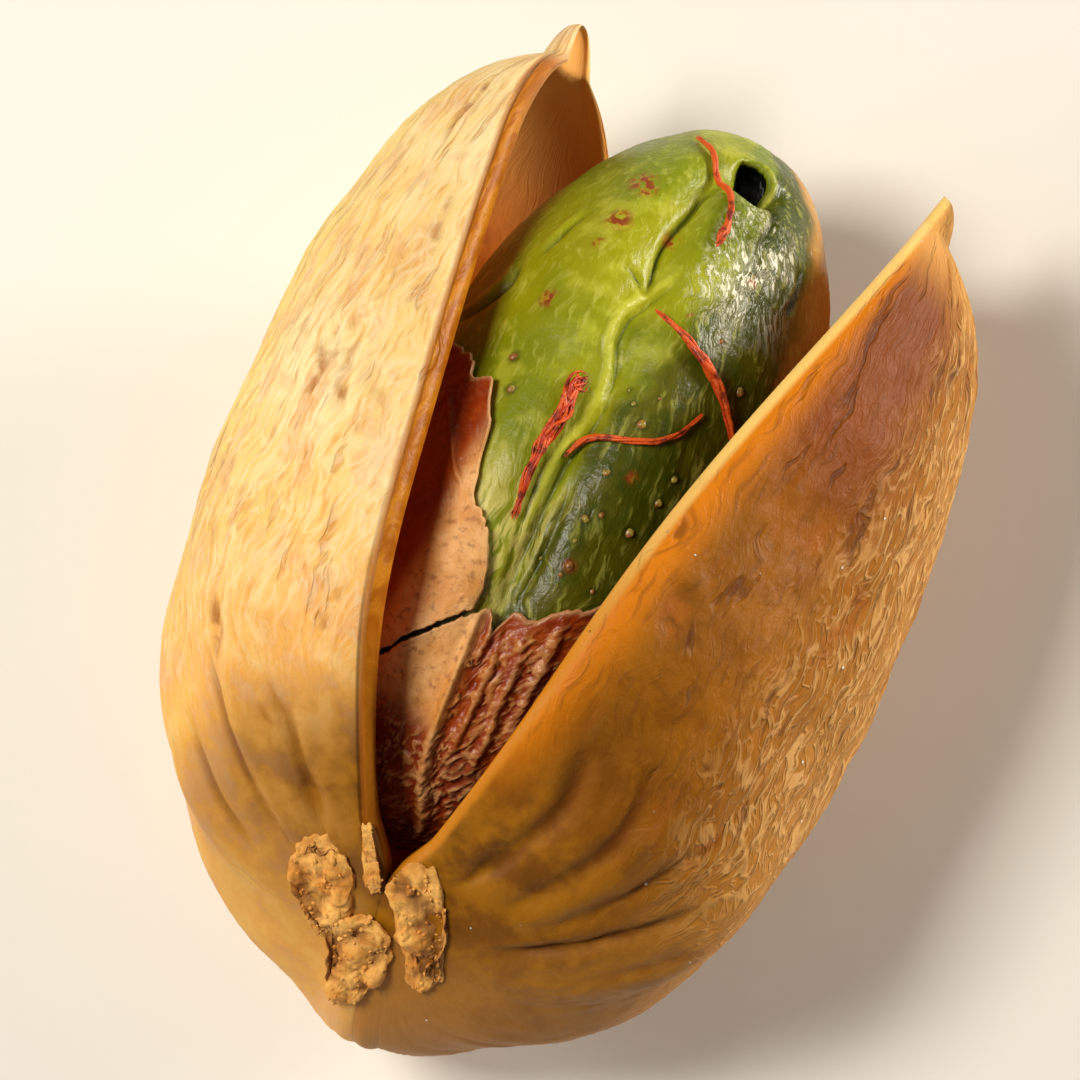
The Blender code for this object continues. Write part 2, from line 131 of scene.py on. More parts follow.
def closed_shell(t, v, side, lift):
    """Points of the shell before it split. v runs from the front seam (0) to the back one (1)."""
    around = math.pi * v
    reach, front, back = (
        np.maximum(outline(t, size, shape) + lift, LEAST_HOLLOW * outline(t, size, shape))
        for size, shape in ((SIDE_REACH[side], SIDE_OUTLINE[side]), (FRONT_REACH, FRONT_OUTLINE),
                            (BACK_REACH, BACK_OUTLINE)))
    x = side * (reach * np.sin(around) + LIP_BOW[side] * np.sin(math.pi * t) ** 2 * (1.0 - v) ** 3)
    swell = np.where(v < 0.5, front, back) * np.cos(around)
    y = NUT_LENGTH * t + (STEM_SHEAR * swell + STEM_SIDE_SHEAR * x) * (1.0 - t) ** STEM_SHEAR_FADE
    y = y - lift * (1.0 - smooth(t / STEM_CAP))
    y = y - TIP_SHORT[side] * smooth((t - 1.0 + TIP_SHORT_SPAN) / TIP_SHORT_SPAN)
    z = BASE_RISE * (1.0 - t) ** 3 + TIP_RISE * t**3 + swell
    return np.stack([x, y, z], -1)


def swung(points, side):
    """Points after their valve has swung open about the hinge line."""
    hinge = np.array([0.0, HINGE_Y, 0.0])
    axis = np.array([0.0, -math.sin(HINGE_LEAN), math.cos(HINGE_LEAN)])
    arm = points - hinge
    clear = arm[..., 1] * math.cos(HINGE_LEAN) + arm[..., 2] * math.sin(HINGE_LEAN)
    held = (1.0 - smooth(np.abs(points[..., 0]) / HINGE_BLEND)) * (1.0 - smooth(clear / HINGE_BLEND))
    angle = (-side * SWING[side] * (1.0 - held))[..., None]
    along_axis = (arm @ axis)[..., None] * axis
    turned = arm * np.cos(angle) + np.cross(axis, arm) * np.sin(angle)
    return hinge + turned + along_axis * (1.0 - np.cos(angle))


def pitched(points):
    """Points after the nut has tipped onto the flat that it rests on."""
    turn = np.array(Matrix.Rotation(PITCH, 3, "X"))
    return points @ turn.T


print("the valves stand", round(math.degrees(SWING[LEFT] + SWING[RIGHT]), 1), "degrees apart")

# %% [markdown]
# ## The kernel's form, and where the nut was stood
# The kernel is a long oval with a crease between its two seed leaves. Its form is needed this
# early because its CAD box tells how far the solid model was moved to stand on its origin: the
# same move then serves every piece and the camera.

# %% The kernel's rule and the common placement
KERNEL_LENGTH, KERNEL_WIDTH, KERNEL_HEIGHT = 18.3, 9.0, 10.2
KERNEL_CENTRE = np.array([-0.45, 11.5, -0.6])
KERNEL_YAW, KERNEL_BROADEN, KERNEL_DENT = 0.08, 0.03, 0.13
BROAD_DENTS, SMALL_DENTS = 1.8, 4.0
CREASE_DEPTH, CREASE_WIDTH, CREASE_START, CREASE_LEAN = 0.4, 0.15, 0.15, -0.19
CREASE_WAVER, CREASE_WAVES = 0.03, 7.0
CREASE_FROM, CREASE_RISE, CREASE_UNTIL, CREASE_FALL = -0.75, 0.3, 0.9, 0.12
CLEFT_ALONG, CLEFT_TURN, CLEFT_DEPTH, CLEFT_RADIUS = 0.86, 0.36, 0.95, 0.62
POLE_RING, POLE_CALM = 0.3, 3.0
SOLID_ROWS, SOLID_COLUMNS = 73, 113


def crease_turn(along):
    """Where the main crease runs over the kernel's top."""
    return CREASE_START + CREASE_LEAN * along + CREASE_WAVER * np.sin(CREASE_WAVES * along)


def ring_at(along):
    """How wide the kernel is at a place along it, from 0 at its poles to 1."""
    return np.sqrt(np.clip(1.0 - along**2, 0.0, 1.0))


def kernel_relief(along, turn):
    """Dents, the crease, and the cleft near the broad end."""
    ring = ring_at(along)
    spot = np.stack([np.sin(turn) * ring, 2.0 * along, np.cos(turn) * ring], -1)
    dents = KERNEL_DENT * (perlin(spot * BROAD_DENTS) + 0.5 * perlin(spot * SMALL_DENTS))
    crease = np.exp(-(((turn - crease_turn(along)) / CREASE_WIDTH) ** 2))
    crease = crease * smooth((along - CREASE_FROM) / CREASE_RISE)
    crease = crease * smooth((CREASE_UNTIL - along) / CREASE_FALL)
    away = np.hypot(
        KERNEL_LENGTH / 2 * (along - CLEFT_ALONG) / np.clip(ring, POLE_RING, None),
        KERNEL_WIDTH / 2 * ring * (turn - CLEFT_TURN),
    )
    cleft = np.exp(-((away / CLEFT_RADIUS) ** 2))
    return dents - CREASE_DEPTH * crease - CLEFT_DEPTH * cleft


def kernel_points(along, turn, lift=0.0):
    """Points of the kernel as it lies, before the nut was stood. along is -1 at the stem end."""
    ring = ring_at(along)
    swell = 1.0 + KERNEL_BROADEN * along
    lift = lift + kernel_relief(along, turn) * np.clip(POLE_CALM * ring, 0.0, 1.0)
    x = (KERNEL_WIDTH / 2 * swell + lift) * ring * np.sin(turn)
    y = (KERNEL_LENGTH / 2 + lift) * along
    z = (KERNEL_HEIGHT / 2 * swell + lift) * ring * np.cos(turn)
    yaw = np.array(Matrix.Rotation(-KERNEL_YAW, 3, "Z"))
    return pitched(np.stack([x, y, z], -1) @ yaw.T + KERNEL_CENTRE)


solid_along = np.cos(np.linspace(0, math.pi, SOLID_ROWS))
plain = kernel_points(*np.meshgrid(solid_along, np.linspace(-math.pi, math.pi, SOLID_COLUMNS)))
low, high = (np.array(corner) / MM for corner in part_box("kernel"))
STOOD = (low + high) / 2 - (plain.min((0, 1)) + plain.max((0, 1))) / 2
print("the nut was moved by", np.round(STOOD, 3), "mm to stand on its origin")

# %% [markdown]
# ## Camera and light
# The photograph looks steeply down on the open side of the nut with a long lens, from over the
# right valve, with the picture turned a little. A long lens keeps the near valve from swelling.
# A key lamp high on the left gives the cream side its glow, a weak one lower down carries the
# light round to the left edge, and a low one from the far right draws the bright edge there.

# %% Camera
VIEW_ELEVATION, VIEW_AZIMUTH = math.radians(75.812), math.radians(44.862)
VIEW_ROLL = math.radians(-20.754)
VIEW_DISTANCE, LENS, NEAREST_SEEN = 178.085, 257.65, 0.005
VIEW_CENTRE = (-0.818, -0.78)
AXIS_MIDDLE = np.array([0.0, NUT_LENGTH / 2, 0.0])


def put(name, data):
    """A new object in the scene."""
    made = bpy.data.objects.new(name, data)
    bpy.context.scene.collection.objects.link(made)
    return made


def view_axes():
    """The camera's right, up and back directions in the nut's own frame."""
    back = np.array([
        math.sin(VIEW_AZIMUTH) * math.cos(VIEW_ELEVATION),
        -math.cos(VIEW_AZIMUTH) * math.cos(VIEW_ELEVATION),
        math.sin(VIEW_ELEVATION),
    ])
    right = np.array([math.cos(VIEW_AZIMUTH), math.sin(VIEW_AZIMUTH), 0.0])
    up = np.cross(back, right)
    turn, lean = math.cos(VIEW_ROLL), math.sin(VIEW_ROLL)
    return right * turn + up * lean, up * turn - right * lean, back


RIGHT_WAY, UP_WAY, BACK_WAY = view_axes()
looked_at = AXIS_MIDDLE + RIGHT_WAY * VIEW_CENTRE[0] + UP_WAY * VIEW_CENTRE[1]
spot = looked_at + BACK_WAY * VIEW_DISTANCE
camera = put("camera", bpy.data.cameras.new("camera"))
camera.data.lens = LENS
camera.data.clip_start = NEAREST_SEEN
axes = np.stack([pitched(RIGHT_WAY), pitched(UP_WAY), pitched(BACK_WAY)], 1)
stand = Matrix.Translation((pitched(spot) + STOOD) * MM)
camera.matrix_world = stand @ Matrix(axes.tolist()).to_4x4()
bpy.context.scene.camera = camera
print("camera at", np.round(np.array(camera.location) / MM, 1), "mm")

# %% Light
LAMPS = (
    # name, way as the camera sees it, distance and size in metres, watts, colour
    ("key lamp", (-0.50, 0.24, 0.83), 0.22, 0.07, 0.40, (1.0, 0.94, 0.83)),
    ("side lamp", (-0.95, 0.16, 0.24), 0.20, 0.07, 0.12, (1.0, 0.95, 0.86)),
    ("edge lamp", (0.93, 0.36, 0.20), 0.20, 0.05, 0.46, (1.0, 0.93, 0.83)),
)
NUT_MIDDLE = Vector((0.0, 0.0, 0.006))
ROOM_COLOUR, ROOM_STRENGTH = (1.0, 0.98, 0.95, 1.0), 0.13


def lamp(name, way, distance, size, watts, colour):
    """A square lamp that shines at the nut from a direction given as the camera sees it."""
    toward = RIGHT_WAY * way[0] + UP_WAY * way[1] + BACK_WAY * way[2]
    toward = Vector(pitched(toward / np.linalg.norm(toward)))
    data = bpy.data.lights.new(name, "AREA")
    data.size = size
    data.energy = watts
    data.color = colour
    made = put(name, data)
    made.location = toward * distance + NUT_MIDDLE
    made.rotation_euler = toward.to_track_quat("Z", "Y").to_euler()


for numbers in LAMPS:
    lamp(*numbers)
world = bpy.data.worlds.new("studio")
world.use_nodes = True
world.node_tree.nodes["Background"].inputs["Color"].default_value = ROOM_COLOUR
world.node_tree.nodes["Background"].inputs["Strength"].default_value = ROOM_STRENGTH
bpy.context.scene.world = world
bpy.context.scene.view_settings.view_transform = "Standard"
print(len(LAMPS), "lamps and a pale room")

# %% [markdown]
# ## Writing nodes as sums
# A finish such as dry shell is layers of noise, masks and colours. As single calls that add and
# link nodes it would be unreadable, so a small class wraps a socket, and a sum of wires adds the
# nodes that work it out. The same class serves materials and Geometry Nodes.

# %% The wire class
VECTOR_KINDS = ("VECTOR", "RGBA")


class Wire:
    """A node's output, to be used in Python sums."""

    def __init__(self, net, socket):
        self.net, self.socket = net, socket

    def _with(self, operation, *others):
        """A maths node of self and others, of the vector kind if any of them is a vector."""
        wires = [w for w in (self, *others) if isinstance(w, Wire)]
        kind = "ShaderNodeMath"
        if any(w.socket.type in VECTOR_KINDS for w in wires):
            kind = "ShaderNodeVectorMath"
            others = [(o, o, o) if isinstance(o, (int, float)) else o for o in others]
        return self.net.wire(kind, {"operation": operation}, dict(enumerate((self, *others))))

    def _flipped(self, operation, other):
        """The same for a plain number that stands before self."""
        return self.net.wire("ShaderNodeMath", {"operation": operation}, {0: other, 1: self})

    def __add__(self, other):
        return self._with("ADD", other)

    def __radd__(self, other):
        return self._with("ADD", other)

    def __sub__(self, other):
        return self._with("SUBTRACT", other)

    def __rsub__(self, other):
        return self._flipped("SUBTRACT", other)

    def __mul__(self, other):
        return self._with("MULTIPLY", other)

    def __rmul__(self, other):
        return self._with("MULTIPLY", other)

    def __neg__(self):
        return self._with("MULTIPLY", -1.0)

    def __abs__(self):
        return self._with("ABSOLUTE")

    def top(self, other):
        """The higher of two wires."""
        return self._with("MAXIMUM", other)

    def least(self, other):
        """The lower of two wires."""
        return self._with("MINIMUM", other)

    def sine(self):
        return self._with("SINE")

    def between(self, low, high, start=0.0, end=1.0):
        """Eases from start to end while this wire goes from low to high."""
        return self.net.wire(
            "ShaderNodeMapRange", {"interpolation_type": "SMOOTHSTEP"},
            {"Value": self, "From Min": low, "From Max": high, "To Min": start, "To Max": end})

    def scaled(self, factor):
        return self.net.wire("ShaderNodeVectorMath", {"operation": "SCALE"}, {0: self, "Scale": factor})

    def part(self, name):
        """The X, Y or Z of a vector."""
        split = self.net.node("ShaderNodeSeparateXYZ", {}, {"Vector": self})
        return Wire(self.net, split.outputs[name])


class Net:
    """A node tree that adds any node from its type, its settings and its inputs."""

    def __init__(self, tree):
        self.tree = tree

    def node(self, kind, settings=None, inputs=None):
        made = self.tree.nodes.new(kind)
        for name, value in (settings or {}).items():
            setattr(made, name, value)
        for name, value in (inputs or {}).items():
            socket = made.inputs[name] if isinstance(name, int) else self.open_one(made.inputs, name)
            if isinstance(value, Wire):
                self.tree.links.new(value.socket, socket)
            else:
                socket.default_value = value
        return made

    def open_one(self, sockets, name=None):
        """The first socket in use, or the first of them with this name."""
        return next(s for s in sockets if s.enabled and name in (None, s.name))

    def wire(self, kind, settings=None, inputs=None, output=None):
        made = self.node(kind, settings, inputs)
        return Wire(self, self.open_one(made.outputs, output))

    def way(self, x, y, z):
        """A vector from three wires or numbers."""
        return self.wire("ShaderNodeCombineXYZ", {}, {"X": x, "Y": y, "Z": z})

    def noise(self, where, scale, detail=3.0, roughness=0.5, distortion=0.0, output=None):
        return self.wire("ShaderNodeTexNoise", {}, {
            "Vector": where, "Scale": scale, "Detail": detail, "Roughness": roughness,
            "Distortion": distortion}, output)

    def cells(self, where, scale):
        """Distance from the nearest of many strewn points."""
        return self.wire(
            "ShaderNodeTexVoronoi", {}, {"Vector": where, "Scale": scale, "Randomness": 1.0}, "Distance")

    def mix(self, share, first, second):
        """Colours mixed by a share from 0 to 1."""
        return self.wire(
            "ShaderNodeMix", {"data_type": "RGBA"}, {"Factor": share, "A": first, "B": second})


print("wires ready")

# %% [markdown]
# ## Finishes
# Each finish starts from one Principled shader. Colours are written as the eye reads them, in
# hex, and turned into the linear values that the shader wants.

# %% Helpers for finishes
def paint(code):
    """A hex colour such as 'F5DFA0' as linear red, green, blue and alpha."""
    parts = [int(code[i:i + 2], 16) / 255.0 for i in (0, 2, 4)]
    return (*[p / 12.92 if p <= 0.04045 else ((p + 0.055) / 1.055) ** 2.4 for p in parts], 1.0)


class Finish(Net):
    """A material whose Principled shader is filled in with sums."""

    def __init__(self, name, **fixed):
        self.material = bpy.data.materials.new(name)
        self.material.use_nodes = True
        super().__init__(self.material.node_tree)
        self.shader = self.tree.nodes["Principled BSDF"]
        for socket, value in fixed.items():
            self.shader.inputs[socket.replace("_", " ")].default_value = value

    def place(self):
        """The point of the piece, in millimetres."""
        return self.wire("ShaderNodeTexCoord", output="Object").scaled(1.0 / MM)

    def mark(self, name):
        """A value that the mesh carries at each vertex."""
        return self.wire("ShaderNodeAttribute", {"attribute_name": name}, output="Fac")

    def feed(self, **links):
        """Leads wires into the shader's sockets, each named with _ for a space."""
        for socket, wire in links.items():
            self.tree.links.new(wire.socket, self.shader.inputs[socket.replace("_", " ")])

    def bump(self, height, distance, strength=1.0):
        """Fine relief. distance is the height in millimetres that 1 stands for."""
        made = self.wire(
            "ShaderNodeBump", {}, {"Height": height, "Distance": distance * MM, "Strength": strength})
        self.feed(Normal=made)


print("a pale cream is", [round(c, 3) for c in paint("F5DFA0")])

# %% [markdown]
# ## Floor
# A plain pale floor carries the nut's shadow. It is one quad, wide enough to fill the picture,
# and it is only the stage.

# %% Floor
FLOOR_HALF = 1.2
floor_mesh = bpy.data.meshes.new("floor")
corners = [(x * FLOOR_HALF, y * FLOOR_HALF, 0.0) for x, y in ((-1, -1), (1, -1), (1, 1), (-1, 1))]
floor_mesh.from_pydata(corners, [], [(0, 1, 2, 3)])
floor = put("floor", floor_mesh)
floor_finish = Finish("pale floor", Base_Color=paint("EDEAE4"), Roughness=0.9)
floor_mesh.materials.append(floor_finish.material)
print("floor", 2 * FLOOR_HALF, "m wide")

# %% [markdown]
# ## From a grid of points to a piece
# Shell, kernel and seed coat are all skins that a rule places, so one helper turns rows and
# columns of points into a mesh. Points that fall together at a pole or seam are welded. Each
# vertex keeps marks, such as how near the rim it is, which the finish reads later. The map named
# OFBake lays the rows and columns out flat for the exported textures.

# %% Grid helper
MAP_MARGIN, FINE_STEPS = 0.01, 6001


def corners_of(grid):
    """The four corners of each cell of a grid, in order round the cell."""
    return np.stack([grid[:-1, :-1], grid[:-1, 1:], grid[1:, 1:], grid[1:, :-1]], 2)


def grid_mesh(name, patches, marks):
    """One mesh from patches, each an array [row, column] of points in millimetres.

    marks holds, for each mark's name, one array of values per patch."""
    vertices, faces, flat_map, first = [], [], [], 0
    for number, points in enumerate(patches):
        rows, columns = points.shape[:2]
        index = first + np.arange(rows * columns).reshape(rows, columns)
        u, v = np.meshgrid(np.linspace(MAP_MARGIN, 1.0 - MAP_MARGIN, columns),
                           np.linspace(MAP_MARGIN, 1.0 - MAP_MARGIN, rows))
        place = np.stack([(u + number) / len(patches), v], -1)
        flat_map.append(corners_of(place).reshape(-1, 2))
        vertices.append(points.reshape(-1, 3))
        faces.append(corners_of(index).reshape(-1, 4))
        first += rows * columns
    mesh = bpy.data.meshes.new(name)
    mesh.from_pydata((np.concatenate(vertices) * MM).tolist(), [], np.concatenate(faces).tolist())
    flat_map = np.concatenate(flat_map).astype(np.float32)
    mesh.uv_layers.new(name="OFBake").uv.foreach_set("vector", flat_map.ravel())
    for label, values in marks.items():
        flat = np.concatenate([np.asarray(part, np.float32).reshape(-1) for part in values])
        mesh.attributes.new(label, "FLOAT", "POINT").data.foreach_set("value", flat)
    return mesh


def piece_from(name, mesh, weld=0.0005):
    """Welds a mesh at its poles and seams, turns its faces outwards and makes it an object."""
    shape = bmesh.new()
    shape.from_mesh(mesh)
    bmesh.ops.remove_doubles(shape, verts=shape.verts, dist=weld * MM)
    shape.normal_update()
    bmesh.ops.recalc_face_normals(shape, faces=shape.faces)
    open_edges = sum(1 for edge in shape.edges if len(edge.link_faces) != 2)
    shape.to_mesh(mesh)
    shape.free()
    mesh.shade_smooth()
    print(name, len(mesh.polygons), "faces,", open_edges, "open edges")
    return put(name, mesh)


def even_shares(rows):
    """Shares of the length whose rows lie evenly along the outline, from pole to pole."""
    fine = (1.0 - np.cos(np.linspace(0.0, math.pi, FINE_STEPS))) / 2.0
    reach = outline(fine, SIDE_REACH[LEFT], SIDE_OUTLINE[LEFT])
    steps = np.hypot(np.diff(fine) * NUT_LENGTH, np.diff(reach))
    length = np.concatenate([[0.0], np.cumsum(steps)])
    return np.interp(np.linspace(0.0, length[-1], rows), length, fine)


# %% [markdown]
# ## Geometry Nodes for what repeats
# Wrinkles, crumbs, warts and fibres repeat over a surface, so they are made by Geometry Nodes.
# Each tree has named inputs, and its result is kept as a plain mesh, because a modifier would
# not survive in the exported model.

# %% Geometry tree helper
class Grower(Net):
    """A Geometry Nodes tree with named inputs."""

    def __init__(self, name, sizes):
        super().__init__(bpy.data.node_groups.new(name, "GeometryNodeTree"))
        face = self.tree.interface
        face.new_socket("Geometry", in_out="INPUT", socket_type="NodeSocketGeometry")
        face.new_socket("Geometry", in_out="OUTPUT", socket_type="NodeSocketGeometry")
        for label, value in sizes.items():
            kind = "NodeSocketInt" if isinstance(value, int) else "NodeSocketFloat"
            face.new_socket(label, in_out="INPUT", socket_type=kind).default_value = value
        self.sizes = sizes
        self.start = self.tree.nodes.new("NodeGroupInput")
        self.geometry = Wire(self, self.start.outputs["Geometry"])

    def size(self, label):
        """One of the tree's own inputs."""
        return Wire(self, self.start.outputs[label])

    def mark(self, name):
        """A value that the mesh carries at each vertex."""
        return self.wire("GeometryNodeInputNamedAttribute", {"data_type": "FLOAT"}, {"Name": name})

    def store(self, geometry, name, value):
        """The same geometry with a value kept as a mark."""
        return self.wire(
            "GeometryNodeStoreNamedAttribute", {"data_type": "FLOAT", "domain": "POINT"},
            {"Geometry": geometry, "Name": name, "Value": value})

    def realized(self, geometry):
        return self.wire("GeometryNodeRealizeInstances", {}, {"Geometry": geometry})

    def moved(self, geometry, offset):
        return self.wire("GeometryNodeSetPosition", {}, {"Geometry": geometry, "Offset": offset})

    def place(self):
        """The point of the surface, in millimetres."""
        return self.wire("GeometryNodeInputPosition").scaled(1.0 / MM)

    def raised(self, geometry, height):
        """The surface moved along its normals by a height in millimetres."""
        normal = self.wire("GeometryNodeInputNormal", output="Normal")
        return self.moved(geometry, normal.scaled(height * MM))

    def off_the_floor(self, geometry):
        """Nothing lies lower than the flat that the nut rests on."""
        point = self.wire("GeometryNodeInputPosition")
        flat = self.way(point.part("X"), point.part("Y"), point.part("Z").top(0.0))
        return self.wire("GeometryNodeSetPosition", {}, {"Geometry": geometry, "Position": flat})

    def close(self, geometry, material):
        """Ends the tree: real geometry that wears the material."""
        worn = self.wire(
            "GeometryNodeSetMaterial", {}, {"Geometry": self.realized(geometry), "Material": material})
        end = self.tree.nodes.new("NodeGroupOutput")
        self.tree.links.new(worn.socket, end.inputs["Geometry"])

    def grow(self, obj, **changed):
        """Runs the tree on obj and keeps the result as obj's own mesh."""
        modifier = obj.modifiers.new("grower", "NODES")
        modifier.node_group = self.tree
        for item in self.tree.interface.items_tree:
            if item.in_out == "INPUT" and item.name in self.sizes:
                usual = self.sizes[item.name]
                modifier[item.identifier] = changed.get(item.name.replace(" ", "_"), usual)
        view = bpy.context.evaluated_depsgraph_get()
        grown = bpy.data.meshes.new_from_object(obj.evaluated_get(view))
        obj.modifiers.remove(modifier)
        if obj.type == "MESH":
            obj.data = grown
            grown.name = obj.name
            return obj
        made = put(obj.name + "_grown", grown)
        bpy.data.objects.remove(obj)
        return made


def wear(piece, node):
    """The piece stands for a CAD node, whose part it hides, and rides on the nut."""
    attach(piece, "root")
    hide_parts(node)
    size = np.array(piece.dimensions) / MM
    print(piece.name, np.round(size, 2), "mm,", len(piece.data.polygons), "faces")


# %% [markdown]
# ## Shell: cross-section and furrows
# The valve's wall is 0.66 mm thick, with a broad round on its outer rim and a tight one inside,
# so a section through it is drawn as one closed loop: outer skin, back rim, inner skin, front
# rim. Deep single folds, like the pleats at the scar, each follow a line on the valve.

# %% The shell's sections
ROWS, OUTER_COLUMNS, INNER_COLUMNS = 236, 128, 38
OUTER_ROUND, INNER_ROUND, RIM_REACH = 0.36, 0.13, 0.42
BEAK_WALL, THINNEST_WALL, SEAM_OVERLAP = 0.6, 0.1, 0.02
CLOSED_SEAM_ROUND, SEAM_PARTED, WIDEST_EDGE = 0.2, 0.4, 0.12


def rim_loop():
    """The rim from the outer skin to the inner one: (distance from the seam, depth)."""
    wide, tight = np.linspace(0, math.pi / 2, 8), np.linspace(0, math.pi / 2, 5)
    outer = np.stack([RIM_REACH * (1 - np.sin(wide)), OUTER_ROUND * (1 - np.cos(wide))], 1)
    inner = np.stack([INNER_ROUND * (1 - np.cos(tight)), WALL - INNER_ROUND * (1 - np.sin(tight))], 1)
    return np.concatenate([outer, inner])


def wall_at(t, side):
    """The wall thins out in the beak."""
    across = outline(t, SIDE_REACH[side], SIDE_OUTLINE[side])
    room = np.minimum(across, outline(t, FRONT_REACH, FRONT_OUTLINE))
    share = np.where(t < 0.5, 1.0, np.minimum(1.0, BEAK_WALL * room / WALL))
    return WALL * np.clip(share, THINNEST_WALL, 1.0)


def round_share(t, v, side):
    """How much of the rim's round a seam has: little where the valves are still joined."""
    parted = np.abs(swung(closed_shell(t, np.full_like(t, v), side, 0.0), side)[:, 0])
    return (CLOSED_SEAM_ROUND + (1.0 - CLOSED_SEAM_ROUND) * smooth(parted / SEAM_PARTED))[:, None]


def rim_share(t, v, side):
    """1 on the rim of the open split, and 0 where the valves are still joined."""
    front, back = (
        (round_share(t, seam, side) - CLOSED_SEAM_ROUND) / (1.0 - CLOSED_SEAM_ROUND) for seam in (0.0, 1.0))
    return np.where(v < 0.5, smooth(front * 1.6 - 0.4), smooth(back * 1.6 - 0.4))


def section_loops(t, side):
    """v, depth, inner mark and distance from the seam along the closed section, for each row."""
    rim = rim_loop()
    wall = wall_at(t, side)[:, None]
    around = math.pi * np.clip(outline(t, SIDE_REACH[side], SIDE_OUTLINE[side]), 1e-4, None)[:, None]
    edge = np.minimum(RIM_REACH * wall / WALL / around, WIDEST_EDGE)
    front = edge * rim[None, :, 0] / RIM_REACH
    depth = wall * rim[None, :, 1] / WALL
    rounded = rim[None, :, 1] <= OUTER_ROUND
    front_depth = depth * np.where(rounded, round_share(t, 0.0, side), 1.0)
    back_depth = depth * np.where(rounded, round_share(t, 1.0, side), 1.0)
    outer = edge + (1 - 2 * edge) * np.linspace(0, 1, OUTER_COLUMNS)[None, 1:-1]
    inner_edge = edge * rim[-1, 0] / RIM_REACH
    inner = inner_edge + (1 - 2 * inner_edge) * np.linspace(1, 0, INNER_COLUMNS)[None, 1:-1]
    v = np.concatenate([outer, 1.0 - front, inner, front[:, ::-1], outer[:, :1]], 1)
    zero = np.zeros_like(outer)
    deep = np.concatenate([zero, back_depth, wall + 0 * inner, front_depth[:, ::-1], zero[:, :1]], 1)
    turned_in = np.clip(depth / wall * 2 - 1, 0, 1)
    inside = np.concatenate([zero, turned_in, 1 + 0 * inner, turned_in[:, ::-1], zero[:, :1]], 1)
    off_seam = np.minimum(v, 1 - v) * around
    return v, deep, inside, off_seam


shares = even_shares(ROWS)
loops = {side: section_loops(shares, side) for side in (LEFT, RIGHT)}
loop_t = np.broadcast_to(shares[:, None], loops[LEFT][0].shape)
print("shell grid:", ROWS, "rows of", loop_t.shape[1], "points, for each valve")

# %% Pleats that follow a line
FOLDS = {
    # line as (share of the length, share of the way round), width, depth
    LEFT: (
        (((0.125, 0.128), (0.07, 0.136), (0.045, 0.13), (0.018, 0.145)), 0.22, 0.30),
        (((0.20, 0.23), (0.12, 0.24), (0.06, 0.25), (0.02, 0.27)), 0.20, 0.22),
        (((0.15, 0.33), (0.08, 0.35), (0.03, 0.37)), 0.20, 0.20),
    ),
    RIGHT: (
        (((0.20, 0.075), (0.117, 0.104), (0.059, 0.098), (0.031, 0.10), (0.018, 0.116)), 0.20, 0.30),
        (((0.24, 0.14), (0.15, 0.17), (0.08, 0.175), (0.03, 0.19)), 0.22, 0.26),
        (((0.177, 0.325), (0.087, 0.307), (0.029, 0.305), (0.009, 0.317)), 0.16, 0.26),
        (((0.21, 0.25), (0.12, 0.245), (0.05, 0.25)), 0.20, 0.20),
    ),
}
FOLDS_END, FOLDS_FADE, SWELL_SHARE, SWELL_AWAY = 0.012, 0.04, 0.35, 2.2


def off_line(points, line):
    """How far each point lies from a line of points, and the share of the line at that place."""
    best = np.full(points.shape[:-1], np.inf)
    share = np.zeros_like(best)
    lengths = np.linalg.norm(np.diff(line, axis=0), axis=1)
    starts = np.concatenate([[0.0], np.cumsum(lengths)])
    for a, b, start, length in zip(line[:-1], line[1:], starts, lengths):
        along = np.clip(((points - a) @ (b - a)) / max(length**2, 1e-12), 0.0, 1.0)
        away = np.linalg.norm(points - a - along[..., None] * (b - a), axis=-1)
        nearer = away < best
        best = np.where(nearer, away, best)
        share = np.where(nearer, (start + along * length) / starts[-1], share)
    return best, share


def smooth_line(points, steps=8):
    """More points along a line, rounded at its corners."""
    points = np.array(points, float)
    place = np.linspace(0, len(points) - 1, (len(points) - 1) * steps + 1)
    line = np.stack([np.interp(place, range(len(points)), axis) for axis in points.T], -1)
    for _ in range(steps):
        line[1:-1] = (line[:-2] + 2 * line[1:-1] + line[2:]) / 4
    return line


def line_ends(share, from_end=0.0):
    """1 along a line, easing to 0 at both its ends."""
    share = np.clip(from_end + (1.0 - 2.0 * from_end) * share, 0.0, 1.0)
    return np.sqrt(np.clip(np.sin(math.pi * share), 0.0, 1.0))


def folds(t, v, side):
    """Depth of the pleats, each along its own line, with a low swell on both sides."""
    skin = closed_shell(t, v, side, 0.0)
    total = np.zeros_like(t)
    for line, width, depth in FOLDS[side]:
        line = smooth_line(line)
        path = closed_shell(line[:, 0], line[:, 1], side, 0.0)
        away, share = off_line(skin, path)
        groove = np.exp(-((away / width) ** 2))
        swell = SWELL_SHARE * np.exp(-(((away - SWELL_AWAY * width) / width) ** 2))
        total = total - depth * (groove - swell) * line_ends(share)
    return total * smooth((t - FOLDS_END) / FOLDS_FADE)


# %% The shell's points
SKIN_FROM, SKIN_FADE, SEAM_CLOSE = 0.1, 0.6, 0.1


def shell_side(side):
    """Points of one valve's section loops, and how deep its pleats are."""
    v, depth, inside, off_seam = loops[side]
    relief = broad_relief(loop_t, v, side)
    on_skin = (1.0 - inside) * smooth((off_seam - SKIN_FROM) / SKIN_FADE)
    fold = folds(loop_t, v, side) * on_skin
    points = closed_shell(loop_t, v, side, relief + fold - depth)
    at_seam = np.clip(1.0 - off_seam / SEAM_CLOSE, 0.0, 1.0)
    points[..., 0] -= side * SEAM_OVERLAP * at_seam * 2
    points = pitched(swung(points, side)) + STOOD
    points[..., 2] = np.clip(points[..., 2], 0.0, None)
    return points, fold


